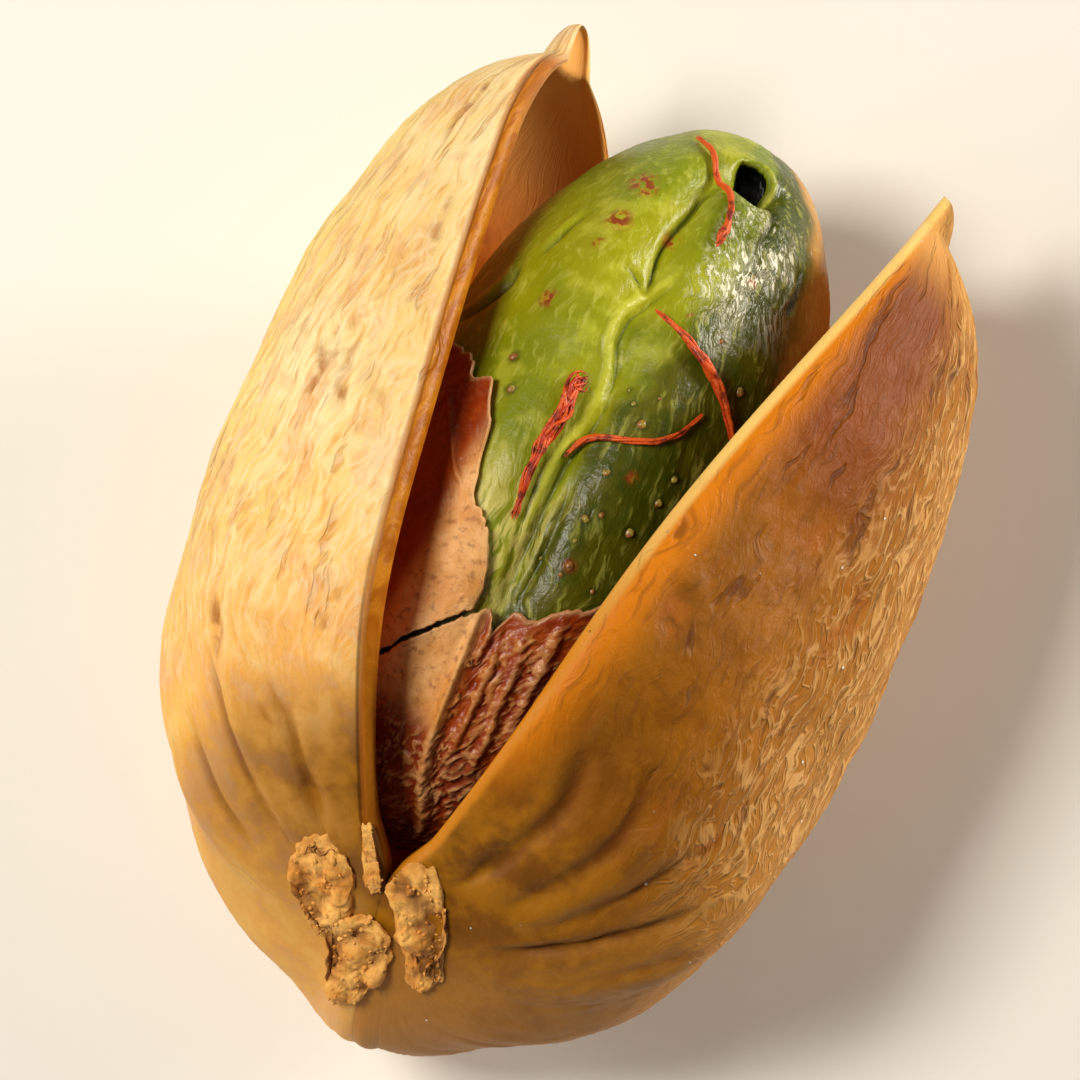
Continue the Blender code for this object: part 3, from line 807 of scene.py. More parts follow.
both = (LEFT, RIGHT)
sides = {side: shell_side(side) for side in both}
shell_marks = {
    "length": [loop_t, loop_t],
    "around": [loops[side][0] for side in both],
    "inside": [loops[side][2] for side in both],
    "off_seam": [loops[side][3] for side in both],
    "valve": [np.full(loop_t.shape, float(side)) for side in both],
    "fold": [sides[side][1] for side in both],
    "parted": [rim_share(shares, loops[side][0], side) for side in both],
}
shell_points = [sides[side][0] for side in both]
shell = piece_from("pistachio_shell", grid_mesh("pistachio_shell", shell_points, shell_marks))

# %% [markdown]
# ## Shell: fine wrinkles
# A dried shell is crinkled lengthwise: long soft furrows all over, and sharp small wrinkles on
# the flanks, which fade towards the smooth rim. Noise that is stretched along the nut gives both.
# It is worked out by Geometry Nodes on the dense grid, so the wrinkles are real shape, and its
# height is kept as a mark, because the finish paints shade into the hollows.

# %% Wrinkle tree for the shell
def shell_wrinkles(material):
    net = Grower("shell wrinkles", {
        "Furrow depth": 0.10, "Crinkle depth": 0.05, "Pit depth": 0.09, "Swell depth": 0.06, "Seed": 3})
    length, around, valve = net.mark("length"), net.mark("around"), net.mark("valve")
    along = length * NUT_LENGTH
    arc = around * (math.pi * SIDE_REACH[LEFT])
    seed = net.size("Seed") * 7.3 + valve * 31.0
    sway = net.noise(net.place(), 0.35, 2.0) - 0.5
    skin = net.way(arc + along * 0.12 + sway * 1.6, along * 0.22, seed)
    long_furrows = net.noise(skin, 0.75, 3.0, 0.5, 0.4)
    tight = net.way(arc + along * 0.25 + sway * 2.4, along * 0.42, seed)
    ridges = 1.0 - abs(net.noise(tight, 1.6, 3.0, 0.55, 0.4) - 0.5) * 5.0
    swell = net.noise(net.place(), 0.85, 3.0, 0.55) - 0.5
    pits = net.noise(skin, 1.3, 1.0).between(0.60, 0.74)
    flank = around.between(0.13, 0.26, 0.08, 1.0) * valve.between(-0.2, 0.2, 0.35, 1.0)
    on_skin = (1.0 - net.mark("inside")) * net.mark("off_seam").between(0.35, 1.3)
    ends = length.between(0.0, 0.05) * length.between(0.86, 0.97, 1.0, 0.25)
    off_chin = along.between(1.5, 6.0, 0.08, 1.0)
    height = (
        (long_furrows - 0.5) * 2.0 * net.size("Furrow depth") * off_chin
        + ridges * flank * net.size("Crinkle depth")
        + swell * 2.0 * net.size("Swell depth")
        - pits * net.size("Pit depth")
    ) * on_skin * ends
    marked = net.store(net.store(net.geometry, "height", height), "pit", pits * on_skin)
    net.close(net.off_the_floor(net.raised(marked, net.mark("height"))), material)
    return net


# %% [markdown]
# ## Shell: finish
# Dry pistachio shell is cream on the left valve; the right one is painted amber as painted shade,
# with a golden rim, ochre stains along its hollows, and a warm brown inside. The colours are layers:
# broad zones by place on the valve, then streaks and fibre along it, then painted shade in the
# hollows and pleats, then the rim, painted darker on the left valve as painted shade. The fine
# crinkles are thin branching ridges with a painted highlight, and small pale specks of painted glint
# are strewn over the amber side.

# %% Shell colours
def cream_side(net, tones):
    along, around, broad, patch, streak, fibre, ridge = tones
    skin = net.mix(broad.between(0.35, 0.65), paint("F6DDA2"), paint("F0C878"))
    skin = net.mix(around.between(0.20, 0.34) * 0.7, skin, paint("F0D068"))
    skin = net.mix(along.between(10.0, 3.0) * patch.between(0.25, 0.6, 0.5, 1.0), skin, paint("F0AC4C"))
    skin = net.mix(patch.between(0.50, 0.64) * 0.6, skin, paint("E6AE78"))
    skin = net.mix(fibre.between(0.48, 0.66) * 0.55, skin, paint("D48E34"))
    skin = net.mix(streak.between(0.56, 0.70) * 0.5, skin, paint("C47C34"))
    # painted highlight: the crinkle ridges are made paler
    return net.mix(ridge * 0.3, skin, paint("FBEBC4"))


def shaded_amber_side(net, tones):
    # painted shade: the right valve is the cream shell made darker amber and olive, as it faces away from
    # the key lamp
    along, around, broad, patch, streak, fibre, ridge = tones
    skin = net.mix(broad.between(0.35, 0.65), paint("965A04"), paint("7E4C06"))
    skin = net.mix(patch.between(0.45, 0.62) * 0.5, skin, paint("6C3A02"))
    skin = net.mix(along.between(11.0, 15.5) * 0.7, skin, paint("7C3402"))
    skin = net.mix(along.between(6.0, 1.0) * 0.7, skin, paint("A06008"))
    # painted light: the flank that faces the edge lamp is made paler
    flank = around.between(0.15, 0.28) * along.between(1.5, 5.0, 0.3, 1.0)
    skin = net.mix(flank * 0.85, skin, paint("A4640C"))
    skin = net.mix(around.between(0.22, 0.38) * 0.7, skin, paint("B87E34"))
    # painted highlight: pale crinkle ridges on the flank
    skin = net.mix(flank * ridge * 0.5, skin, paint("E6B672"))
    skin = net.mix(around.between(0.07, 0.012) * 0.9, skin, paint("D67A02"))
    skin = net.mix(fibre.between(0.50, 0.70) * 0.4, skin, paint("5A2E02"))
    skin = net.mix(streak.between(0.60, 0.68) * 0.6, skin, paint("4E2204"))
    return net.mix(along.between(18.5, 20.8) * 0.8, skin, paint("E2A450"))


# %% Shell finish
def shell_finish():
    net = Finish("pistachio shell", Subsurface_Weight=0.08, Subsurface_Scale=0.0005, IOR=1.36)
    net.shader.inputs["Subsurface Radius"].default_value = (1.0, 0.5, 0.2)
    net.shader.inputs["Specular IOR Level"].default_value = 0.3
    along, around, valve = net.mark("length") * NUT_LENGTH, net.mark("around"), net.mark("valve")
    inside, off_seam = net.mark("inside"), net.mark("off_seam")
    height, pit, fold = net.mark("height"), net.mark("pit"), net.mark("fold")
    arc = around * (math.pi * SIDE_REACH[LEFT])
    on_right = valve.between(-0.2, 0.2)
    sway = net.noise(net.place(), 0.5, 2.0) - 0.5

    def lengthwise(stretch, lean, seed):
        """A way over the valve in which noise is drawn out along it."""
        return net.way(arc + along * lean + sway * 1.5, along * stretch, valve * 9.0 + seed)

    def veins(scale, distortion, width, strength):
        """Thin branching lines, where a noise passes its middle."""
        field = abs(net.noise(lengthwise(0.30, 0.2, 2.0), scale, 2.0, 0.5, distortion) - 0.5)
        return field.between(0.0, width, strength, 0.0)

    broad = net.noise(net.place(), 0.28, 3.0)
    patch = net.noise(net.place(), 0.75, 4.0, 0.6)
    away = along.between(1.5, 6.5, 0.15, 1.0)
    fibre = (net.noise(lengthwise(0.12, 0.1, 0.0), 5.0, 3.0, 0.6) - 0.5) * away + 0.5
    streak = (net.noise(lengthwise(0.22, 0.15, 4.0), 1.9, 3.0, 0.6) - 0.5) * away + 0.5
    ridge = (veins(1.9, 0.5, 0.055, 1.0) + veins(4.6, 0.4, 0.07, 0.6)).least(1.0) * away
    tones = along, around, broad, patch, streak, fibre, ridge
    skin = net.mix(on_right, cream_side(net, tones), shaded_amber_side(net, tones))
    # painted shade: the wrinkles' hollows are made darker
    hollow_shade = (-height).between(0.02, 0.16) * 0.5
    skin = net.mix(hollow_shade, skin, net.mix(on_right, paint("C8802E"), paint("603204")))
    stained = pit * net.noise(net.place(), 1.6, 3.0).between(0.4, 0.6)
    skin = net.mix(stained * 0.8, skin, paint("A05A12"))
    # painted shade: the pleats' grooves are made darker
    skin = net.mix((-fold).between(0.03, 0.25) * 0.8, skin, paint("663004"))
    chin = along.between(4.0, 1.0) * (1.0 - around * 1.2)
    skin = net.mix(chin, skin, net.mix(patch.between(0.4, 0.62), paint("9E6608"), paint("6E4004")))
    # painted glints: tiny pale specks on the right valve, also raised a little in the bump
    strewn = net.cells(net.place(), 1.3).between(0.062, 0.045)
    strewn = strewn * net.noise(net.place(), 0.9, 2.0).between(0.5, 0.56)
    glint_specks = strewn * on_right * inside.between(0.35, 0.1)
    skin = net.mix(glint_specks, skin, paint("FFF2D8"))
    # the left rim band's own golden orange, made darker as painted shade where it faces away from the key
    # lamp
    rim_tone_and_shade = net.mix(fibre.between(0.4, 0.65), paint("A05804"), paint("BE7814"))
    left_parted = net.mark("parted") * along.between(21.4, 20.4)
    left_rim = off_seam.between(0.26, 0.15) * left_parted
    right_rim = off_seam.between(0.26, 0.10) * net.mark("parted")
    skin = net.mix(left_rim * (1.0 - on_right), skin, rim_tone_and_shade)
    gold = net.mix(along.between(5.0, 14.0), paint("C87C16"), paint("F6CE74"))
    skin = net.mix(right_rim * on_right * 0.9, skin, gold)
    groove = off_seam.between(0.14, 0.20) * off_seam.between(0.34, 0.24)
    groove = groove * (1.0 - on_right) * left_parted
    skin = net.mix(groove * 0.6, skin, paint("9A4E06"))
    lining = net.mix(patch.between(0.35, 0.7), paint("D8700C"), paint("B44E06"))
    lining = net.mix(along.between(16.5, 21.0), lining, paint("F6B05C"))
    skin = net.mix(inside.between(0.4, 1.0), skin, lining)
    net.feed(Base_Color=skin)
    rim = left_rim.top(right_rim)
    net.feed(Roughness=0.46 - rim * 0.10 + fibre * 0.12)
    crinkled = on_right.between(0.0, 1.0, 0.45, 1.0) * around.between(0.13, 0.26, 0.15, 1.0)
    crinkled = crinkled * along.between(1.0, 4.5, 0.3, 1.0)
    relief = fibre * 0.30 - streak.between(0.58, 0.66) * 0.5
    relief = relief + ridge * crinkled * 0.6 + glint_specks * 1.2 - groove * 0.8
    relief = relief + net.noise(net.place(), 2.6, 5.0, 0.6) * 0.5
    net.bump(relief * inside.between(0.6, 0.2, 0.15, 1.0), 0.075)
    return net.material


shell_material = shell_finish()
shell.data.materials.append(shell_material)
shell_wrinkles(shell_material).grow(shell)
wear(shell, "shell")

# %% [markdown]
# ## Kernel: creases, cleft and folds
# The kernel's two seed leaves meet in a crease that wanders over its top, with a raised fold
# along its left bank. Each crease is a line of (along, turn) points, and its groove and bank are
# sums over how far a point of the skin lies from that line. The rows of the grid crowd towards
# the ends and its columns towards the top, where the split shows it.

# %% The kernel's lines
CREASES = (
    # line, width and depth of the groove, height of the bank on its left
    (((0.80, 0.04), (0.76, 0.0), (0.72, 0.003), (0.647, -0.038), (0.575, -0.031), (0.50, 0.03),
      (0.44, 0.06)), 0.09, 0.20, 0.03),
    (((0.52, 0.20), (0.466, 0.135), (0.406, 0.073), (0.366, 0.038), (0.294, 0.052), (0.238, 0.136),
      (0.12, 0.19)), 0.10, 0.10, 0.13),
    (((0.16, 0.19), (0.038, 0.178), (-0.054, 0.136), (-0.202, 0.171), (-0.334, 0.192),
      (-0.44, 0.234)), 0.12, 0.14, 0.10),
    (((0.438, 0.052), (0.466, -0.01), (0.478, -0.10), (0.47, -0.17)), 0.07, 0.12, 0.03),
    (((0.40, -0.63), (0.454, -0.605), (0.50, -0.60), (0.57, -0.585)), 0.08, 0.12, 0.05),
    (((0.18, -0.93), (0.254, -0.76), (0.314, -0.695), (0.38, -0.73)), 0.10, 0.16, 0.10),
    (((-0.05, 0.02), (-0.15, 0.06), (-0.30, 0.12), (-0.42, 0.19)), 0.10, 0.08, 0.05),
    (((-0.08, 0.22), (-0.20, 0.27), (-0.33, 0.30), (-0.42, 0.30)), 0.10, 0.12, 0.06),
    (((0.86, 0.62), (0.78, 0.62), (0.72, 0.56), (0.66, 0.60)), 0.10, 0.14, 0.06),
    (((0.72, 0.95), (0.66, 0.98), (0.60, 0.93)), 0.09, 0.16, 0.05),
)
BANK_AWAY, BANK_WIDTH = 2.2, 1.6
HOLE_ALONG, HOLE_TURN, HOLE_LONG, HOLE_WIDE, HOLE_DEPTH = 0.886, 0.30, 0.50, 0.42, 0.9
HOLE_SLANT, HOLE_EDGE, HOLE_FADE = 0.25, 1.15, 0.3
LIP_HEIGHT, LIP_AWAY, LIP_WIDTH = 0.08, 1.45, 0.22


def kernel_creases(along, turn):
    """Grooves and banks, as a height over the kernel's broad form."""
    skin = kernel_points(along, turn)
    height = np.zeros_like(along)
    for line, width, depth, bank in CREASES:
        line = smooth_line(line)
        away, share = off_line(skin, kernel_points(line[:, 0], line[:, 1]))
        order = np.argsort(line[:, 0])
        side = np.sign(turn - np.interp(along, line[order, 0], line[order, 1]))
        groove = np.exp(-((away / width) ** 2))
        left_bank = np.exp(-(((side * away + BANK_AWAY * width) / (BANK_WIDTH * width)) ** 2))
        height = height + (bank * left_bank - depth * groove) * line_ends(share)
    return height


def cleft_hole(along, turn):
    """The hole at the broad end, 0 outside and 1 inside, and the raised lip on its right."""
    ring = ring_at(along)
    up = KERNEL_LENGTH / 2 * (along - HOLE_ALONG) / np.clip(ring, POLE_RING, None) / HOLE_LONG
    across = KERNEL_WIDTH / 2 * ring * (turn - HOLE_TURN) / HOLE_WIDE
    away = np.hypot(up, across + HOLE_SLANT * up)
    lip = np.exp(-(((away - LIP_AWAY) / LIP_WIDTH) ** 2)) * smooth(0.5 + across)
    return smooth((HOLE_EDGE - away) / HOLE_FADE), lip


# %% The kernel's grid
KERNEL_ROWS, KERNEL_COLUMNS, TOP_CROWDING = 286, 300, 0.45
RUST_SPOTS = (
    # along, turn, radius
    (0.703, -0.423, 0.34), (0.69, -0.35, 0.26), (0.579, -0.346, 0.33), (0.494, -0.346, 0.16),
    (0.306, -0.395, 0.24), (0.607, 0.591, 0.17), (0.434, 0.339, 0.09), (0.623, -0.01, 0.22),
    (-0.262, 0.423, 0.16), (0.002, 0.465, 0.15))
WARTS = (
    # along, turn, radius
    (0.134, -0.388, 0.11), (0.054, -0.297, 0.10), (0.338, 0.772, 0.12), (0.058, 0.66, 0.10),
    (-0.014, 0.653, 0.11), (-0.114, 0.598, 0.12), (-0.142, 0.374, 0.10), (-0.114, 0.43, 0.08),
    (-0.018, 0.346, 0.09), (0.13, 0.381, 0.11), (-0.262, 0.423, 0.12), (-0.286, 0.276, 0.06),
    (-0.35, 0.297, 0.05), (-0.202, 0.381, 0.06), (-0.29, 0.409, 0.06), (-0.282, 0.591, 0.07),
    (0.42, 0.55, 0.07), (0.36, 0.48, 0.05), (0.20, 0.25, 0.05), (0.17, 0.30, 0.06), (0.21, 0.40, 0.05))


def crowded_turns(columns, crowding):
    """Turns from -pi to pi that lie closer together near the top."""
    place = np.linspace(-1.0, 1.0, columns)
    return math.pi * place - crowding * np.sin(math.pi * place)


kernel_turn, kernel_along = np.meshgrid(
    crowded_turns(KERNEL_COLUMNS, TOP_CROWDING), -np.cos(np.linspace(0.0, math.pi, KERNEL_ROWS)))
crease_height = kernel_creases(kernel_along, kernel_turn)
hole, lip = cleft_hole(kernel_along, kernel_turn)
crease_height = crease_height + LIP_HEIGHT * lip
kernel_skin = kernel_points(kernel_along, kernel_turn, crease_height)
kernel_skin[..., 2] -= HOLE_DEPTH * hole


def spots(places, reach):
    """1 at each place of the kernel's skin, and 0 from reach times its radius on."""
    mark = np.zeros_like(kernel_along)
    for along, turn, radius in places:
        centre = kernel_points(np.array(along), np.array(turn))
        away = np.linalg.norm(kernel_skin - centre, axis=-1)
        mark = np.maximum(mark, smooth(reach - away / radius))
    return mark


kernel_marks = {
    "along": [kernel_along], "turn": [kernel_turn], "crease": [crease_height], "hole": [hole],
    "rust": [spots(RUST_SPOTS, 1.4)], "foot": [spots(WARTS, 2.0)]}
kernel = piece_from("kernel_skin", grid_mesh("kernel_skin", [kernel_skin + STOOD], kernel_marks))

# %% Fine relief of the kernel
def kernel_folds(material):
    net = Grower("kernel folds", {"Fold depth": 0.05, "Line depth": 0.022, "Seed": 5})
    seed = net.size("Seed") * 5.1
    spot = net.place()
    sway = net.noise(spot, 0.5, 2.0) - 0.5
    across, along, up = (spot.part(axis) for axis in "XYZ")
    lengthwise = net.way(across + sway * 1.5 + along * 0.10, along * 0.25 + seed, up * 0.8)
    broad = net.noise(lengthwise, 0.9, 3.0, 0.5) - 0.5
    lines = 1.0 - abs(net.noise(lengthwise, 3.2, 3.0, 0.6) - 0.5) * 4.0
    height = broad * 2.0 * net.size("Fold depth") + lines * net.size("Line depth")
    marked = net.store(net.geometry, "height", height * (1.0 - net.mark("hole")))
    net.close(net.raised(marked, net.mark("height")), material)
    return net


# %% [markdown]
# ## Kernel: finish
# The left side is yellow-green, the side behind the crease is painted a dark olive as painted shade,
# and the far edge turns brown. Fine lines run lengthwise, paler where the skin was stretched near
# the torn coat. The creases and the hole get painted shade, the crease banks a painted highlight,
# and a painted shadow lies in the gap by the cup. Rust spots and a whitish bloom of broken skin near
# the hole, partly painted sheen, lie on top.

# %% Kernel finish
def kernel_finish():
    net = Finish("pistachio kernel", Subsurface_Weight=0.10, Subsurface_Scale=0.0004, IOR=1.38)
    net.shader.inputs["Subsurface Radius"].default_value = (0.7, 0.8, 0.1)
    along, turn, crease = net.mark("along"), net.mark("turn"), net.mark("crease")
    spot = net.place()
    broad = net.noise(spot, 0.35, 3.0)
    patch = net.noise(spot, 1.1, 4.0, 0.6)
    sway = net.noise(spot, 0.8, 2.0) - 0.5
    lines_way = net.way(spot.part("X") + sway + spot.part("Y") * 0.1, spot.part("Y") * 0.14, spot.part("Z"))
    lines = net.noise(lines_way, 6.0, 3.0, 0.6)
    green = net.mix(broad.between(0.35, 0.65), paint("98980A"), paint("7A8604"))
    green = net.mix(patch.between(0.48, 0.66) * 0.5, green, paint("BEBE38"))
    green = net.mix(along.between(0.45, 0.75) * turn.between(0.0, 0.25) * 0.7, green, paint("5E7406"))
    # painted shade: the side behind the crease is made dark olive
    right = (turn + sway * 0.3 - along.top(0.0) * 0.35).between(0.12, 0.30)
    olive = net.mix(patch.between(0.4, 0.62), paint("384202"), paint("4E4A02"))
    green = net.mix(right * 0.92, green, olive)
    green = net.mix((turn + sway * 0.4).between(0.95, 1.18) * 0.95, green, paint("B8822C"))
    green = net.mix(turn.between(-0.55, -0.95) * 0.6, green, paint("6E7A12"))
    lower = along.between(-0.02, -0.32) * turn.between(0.30, 0.16) * turn.between(-0.35, -0.1)
    green = net.mix(lower * lines.between(0.40, 0.56) * 0.85, green, paint("DED278"))
    green = net.mix(lines.between(0.52, 0.72) * 0.35, green, paint("D2D060"))
    # painted shadow: the dark gap by the flap's lower right edge
    gap_shadow = turn.between(0.13, 0.04) * along.between(-0.36, -0.42)
    green = net.mix(gap_shadow * 0.9, green, paint("1E1204"))
    # painted shade in the creases, and a painted highlight on their banks
    green = net.mix((-crease).between(0.02, 0.12) * 0.7, green, paint("3E4606"))
    green = net.mix(crease.between(0.02, 0.10) * 0.45, green, paint("D2D24A"))
    broken = net.noise(spot, 4.6, 3.0).between(0.38, 0.54)
    # painted shadow round the foot of each wart
    green = net.mix(net.mark("foot") * 0.7, green, paint("2E3004"))
    rusty = net.mix(broken.between(0.6, 1.0), paint("C06A20"), paint("8A3C0C"))
    green = net.mix(net.mark("rust") * broken, green, rusty)
    # a whitish bloom of broken skin, partly real and partly painted sheen
    bloom_and_sheen = along.between(0.42, 0.56) * along.between(0.86, 0.74)
    bloom_and_sheen = bloom_and_sheen * turn.between(0.18, 0.32) * turn.between(1.05, 0.75)
    bloom_and_sheen = bloom_and_sheen * net.noise(lines_way, 11.0, 3.0, 0.7).between(0.46, 0.57)
    green = net.mix(bloom_and_sheen * patch.between(0.40, 0.52) * 0.75, green, paint("EAE8CC"))
    # painted shade: the hole is made near black
    green = net.mix(net.mark("hole").between(0.05, 0.4), green, paint("0A0C02"))
    net.feed(Base_Color=green, Roughness=0.32 + patch * 0.14 - right * 0.06)
    grain = net.noise(spot, 3.6, 2.0, 0.55) * 0.6 + net.noise(spot, 13.0, 2.0) * 0.2
    net.bump(grain + lines * 0.9 + bloom_and_sheen * 0.8, 0.035)
    return net.material


kernel_material = kernel_finish()
kernel.data.materials.append(kernel_material)
kernel_folds(kernel_material).grow(kernel)
wear(kernel, "kernel")

# %% [markdown]
# ## Kernel: warts
# Small olive to brown warts sit on the skin, each with a dark foot of painted shadow on the kernel's
# skin. Each is one point on the kernel's rule with a size, and Geometry Nodes puts a lumpy bead there.

# %% Warts
def wart_points():
    """One loose point for each wart, with its size as a mark."""
    along, turn, radius = np.array(WARTS).T
    points = kernel_points(along, turn, kernel_creases(along, turn)) + STOOD
    mesh = bpy.data.meshes.new("kernel_warts")
    mesh.from_pydata((points * MM).tolist(), [], [])
    mesh.attributes.new("size", "FLOAT", "POINT").data.foreach_set("value", radius.astype(np.float32))
    return put("kernel_warts", mesh)


def wart_beads(material):
    net = Grower("kernel warts", {"Lump depth": 0.04, "Flatness": 0.6, "Seed": 2})
    radius = net.mark("size")
    bead = net.wire("GeometryNodeMeshIcoSphere", {}, {"Radius": MM, "Subdivisions": 3}, "Mesh")
    points = net.wire("GeometryNodeMeshToPoints", {}, {"Mesh": net.geometry, "Radius": MM})
    placed = net.wire("GeometryNodeInstanceOnPoints", {}, {
        "Points": points, "Instance": bead, "Scale": net.way(radius, radius, radius * net.size("Flatness"))})
    lump = (net.noise(net.place() + net.size("Seed"), 6.0, 2.0) - 0.5) * net.size("Lump depth")
    marked = net.store(net.realized(placed), "lump", lump)
    net.close(net.raised(marked, net.mark("lump")), material)
    return net


def wart_finish():
    net = Finish("kernel wart", Roughness=0.3, IOR=1.45)
    tone = net.noise(net.place(), 2.2, 3.0)
    skin = net.mix(tone.between(0.42, 0.56), paint("9C8C3A"), paint("94602A"))
    skin = net.mix(net.mark("lump").between(0.0, -0.01), skin, paint("3A2A06"))
    net.feed(Base_Color=skin)
    return net.material


wart_material = wart_finish()
warts = wart_beads(wart_material).grow(wart_points())
warts.data.shade_smooth()
wear(warts, "kernel")

# %% [markdown]
# ## Seed coat: two torn sheets
# The papery coat is torn across and pulled down from the kernel's tip, and a crack parts a flap
# from the cup. Both are thin sheets laid over the kernel's rule. An outer and an inner skin meet
# at each torn edge, where the thickness rounds off to nothing. One raised fold runs down the cup:
# the coat is smooth and tan on its left and drawn into glossy red-brown wrinkles on its right.

# %% Coat sizes
COAT_EDGE = (
    (-3.14, -0.30), (-2.30, -0.44), (-1.70, -0.80), (-1.00, -0.82), (-0.60, -0.77), (-0.41, -0.685),
    (-0.20, -0.60), (-0.05, -0.54), (0.09, -0.475), (0.18, -0.45), (0.25, -0.49), (0.30, -0.42),
    (0.40, -0.42), (0.54, -0.34), (0.64, -0.30), (0.71, -0.20), (1.10, -0.24), (1.70, -0.12),
    (2.40, -0.26), (3.14, -0.30))
FLAP_EDGE = (
    (-1.75, 0.16), (-1.30, 0.02), (-0.95, 0.12), (-0.61, 0.095), (-0.51, 0.05), (-0.39, 0.05),
    (-0.27, -0.05), (-0.23, -0.14), (-0.18, -0.22), (-0.03, -0.28), (0.05, -0.36), (0.10, -0.43))
FLAP_LEFT, FLAP_RIGHT, CRACK = -1.75, 0.09, 0.016
COAT_CLEAR, COAT_THICKNESS, TORN_ROUND, CURL, CURL_REACH = 0.09, 0.14, 0.07, 0.16, 0.45
RAGGED = ((9.0, 0.013), (31.0, 0.009), (83.0, 0.005))
BACK_FADE, FROM_FOLD_END = 0.3, 0.06
MAIN_FOLD = ((-0.47, 0.135), (-0.535, 0.157), (-0.579, 0.171), (-0.659, 0.199), (-0.731, 0.234),
             (-0.803, 0.297), (-0.863, 0.409), (-0.955, 0.89))
SIDE_FOLDS = (
    ((-0.49, 0.29), (-0.55, 0.34), (-0.627, 0.36), (-0.70, 0.40), (-0.755, 0.423)),
    ((-0.45, 0.40), (-0.53, 0.47), (-0.619, 0.50), (-0.70, 0.58), (-0.775, 0.626)),
    ((-0.37, 0.53), (-0.46, 0.59), (-0.543, 0.598), (-0.62, 0.66), (-0.699, 0.702)),
    ((-0.44, 0.20), (-0.50, 0.24), (-0.56, 0.24)),
)
FLAP_FOLD = ((0.0, -0.62), (-0.06, -0.52), (-0.12, -0.42), (-0.19, -0.32), (-0.22, -0.22))


def off_back(turn):
    """1 on the coat, easing to 0 at the line on the kernel's back where its grid closes."""
    return smooth((math.pi - np.abs(turn)) / BACK_FADE)


def edge_height(line, turn, seed):
    """A torn edge: the line's height at each turn, with three sizes of raggedness."""
    place, height = np.array(line).T
    torn = np.interp(turn, place, height)
    for pitch, size in RAGGED:
        spot = np.stack([turn * pitch, 0 * turn + seed, 0 * turn], -1)
        torn = torn + size * perlin(spot) * off_back(turn)
    return torn


def fold_ridge(skin, line, width, height):
    """Height of a raised fold along a line."""
    line = smooth_line(line)
    away, share = off_line(skin, kernel_points(line[:, 0], line[:, 1]))
    return height * np.exp(-((away / width) ** 2)) * line_ends(share, FROM_FOLD_END)


def coat_sheet(along, turn, to_edge, relief):
    """Outer and inner skin of a sheet. to_edge is each point's distance from the torn edge."""
    uneven = 0.5 + perlin(np.stack([turn * 4, along * 3, 0 * turn], -1))
    curl = CURL * np.exp(-to_edge / CURL_REACH) * uneven * off_back(turn)
    round_off = np.sqrt(np.clip(1.0 - (1.0 - np.clip(to_edge / TORN_ROUND, 0.0, 1.0)) ** 2, 0.0, 1.0))
    middle = COAT_CLEAR + COAT_THICKNESS / 2 + kernel_creases(along, turn)
    middle = middle + np.maximum(curl, 0.0) + relief
    half = COAT_THICKNESS / 2 * round_off
    return kernel_points(along, turn, middle + half), kernel_points(along, turn, middle - half)


# %% Cup
CUP_ROWS, CUP_COLUMNS, CUP_CROWDING = 130, 300, 0.6
EDGE_SEED, MEAN_RADIUS = 2.0, 6.5
MAIN_FOLD_SIZE, SIDE_FOLD_SIZE = (0.11, 0.27), (0.075, 0.17)
near_edge = [0.988, 0.991, 0.994, 0.997, 0.999, 1.0]
cup_share = np.concatenate([np.linspace(0.0, 0.985, CUP_ROWS), near_edge])
cup_turn, cup_share = np.meshgrid(crowded_turns(CUP_COLUMNS, CUP_CROWDING), cup_share)
reach = np.arccos(-edge_height(COAT_EDGE, cup_turn, EDGE_SEED))
cup_along = -np.cos(reach * cup_share)
cup_to_edge = (1.0 - cup_share) * reach * MEAN_RADIUS
skin = kernel_points(cup_along, cup_turn)
cup_folds = fold_ridge(skin, MAIN_FOLD, *MAIN_FOLD_SIZE)
for line in SIDE_FOLDS:
    cup_folds = np.maximum(cup_folds, fold_ridge(skin, line, *SIDE_FOLD_SIZE))
order = np.argsort([along for along, turn in MAIN_FOLD])
fold_turn = np.interp(cup_along, *np.array(MAIN_FOLD)[order].T)
right_of_fold = smooth((cup_turn - fold_turn) / 0.06)
low_left = smooth((-0.68 - cup_along) / 0.1) * (1.0 - right_of_fold)
outer, inner = coat_sheet(cup_along, cup_turn, cup_to_edge, cup_folds)
drawn = np.maximum(right_of_fold, 0.8 * low_left)
cup_marks = {
    "drawn": [drawn] * 2, "red": [np.maximum(right_of_fold, low_left)] * 2, "ridge": [cup_folds] * 2,
    "to_edge": [cup_to_edge] * 2, "outer": [np.ones_like(drawn), np.zeros_like(drawn)]}
cup = piece_from("coat_cup", grid_mesh("coat_cup", [outer + STOOD, inner + STOOD], cup_marks))

# %% Flap
FLAP_STEPS, FLAP_SEED, FLAP_FOLD_SIZE, FLAP_DRAWN = 150, 7.0, (0.07, 0.12), 0.25
FLAP_LEAST, TAN_FROM, TAN_TOP = 0.02, -0.36, -0.05
near_edge = np.array([0.0, 0.002, 0.005, 0.009, 0.014])
steps = np.concatenate([near_edge, np.linspace(0.02, 0.98, FLAP_STEPS), 1.0 - near_edge[::-1]])
flap_across, flap_up = np.meshgrid(steps, steps)
flap_turn = FLAP_LEFT + (FLAP_RIGHT - FLAP_LEFT) * flap_across
low = edge_height(COAT_EDGE, flap_turn, EDGE_SEED) + CRACK
high = np.maximum(edge_height(FLAP_EDGE, flap_turn, FLAP_SEED), low + FLAP_LEAST)
flap_along = low + (high - low) * flap_up
flap_long = (high - low) * KERNEL_LENGTH / 2
flap_wide = (FLAP_RIGHT - FLAP_LEFT) * (ring_at(flap_along) * KERNEL_WIDTH / 2)
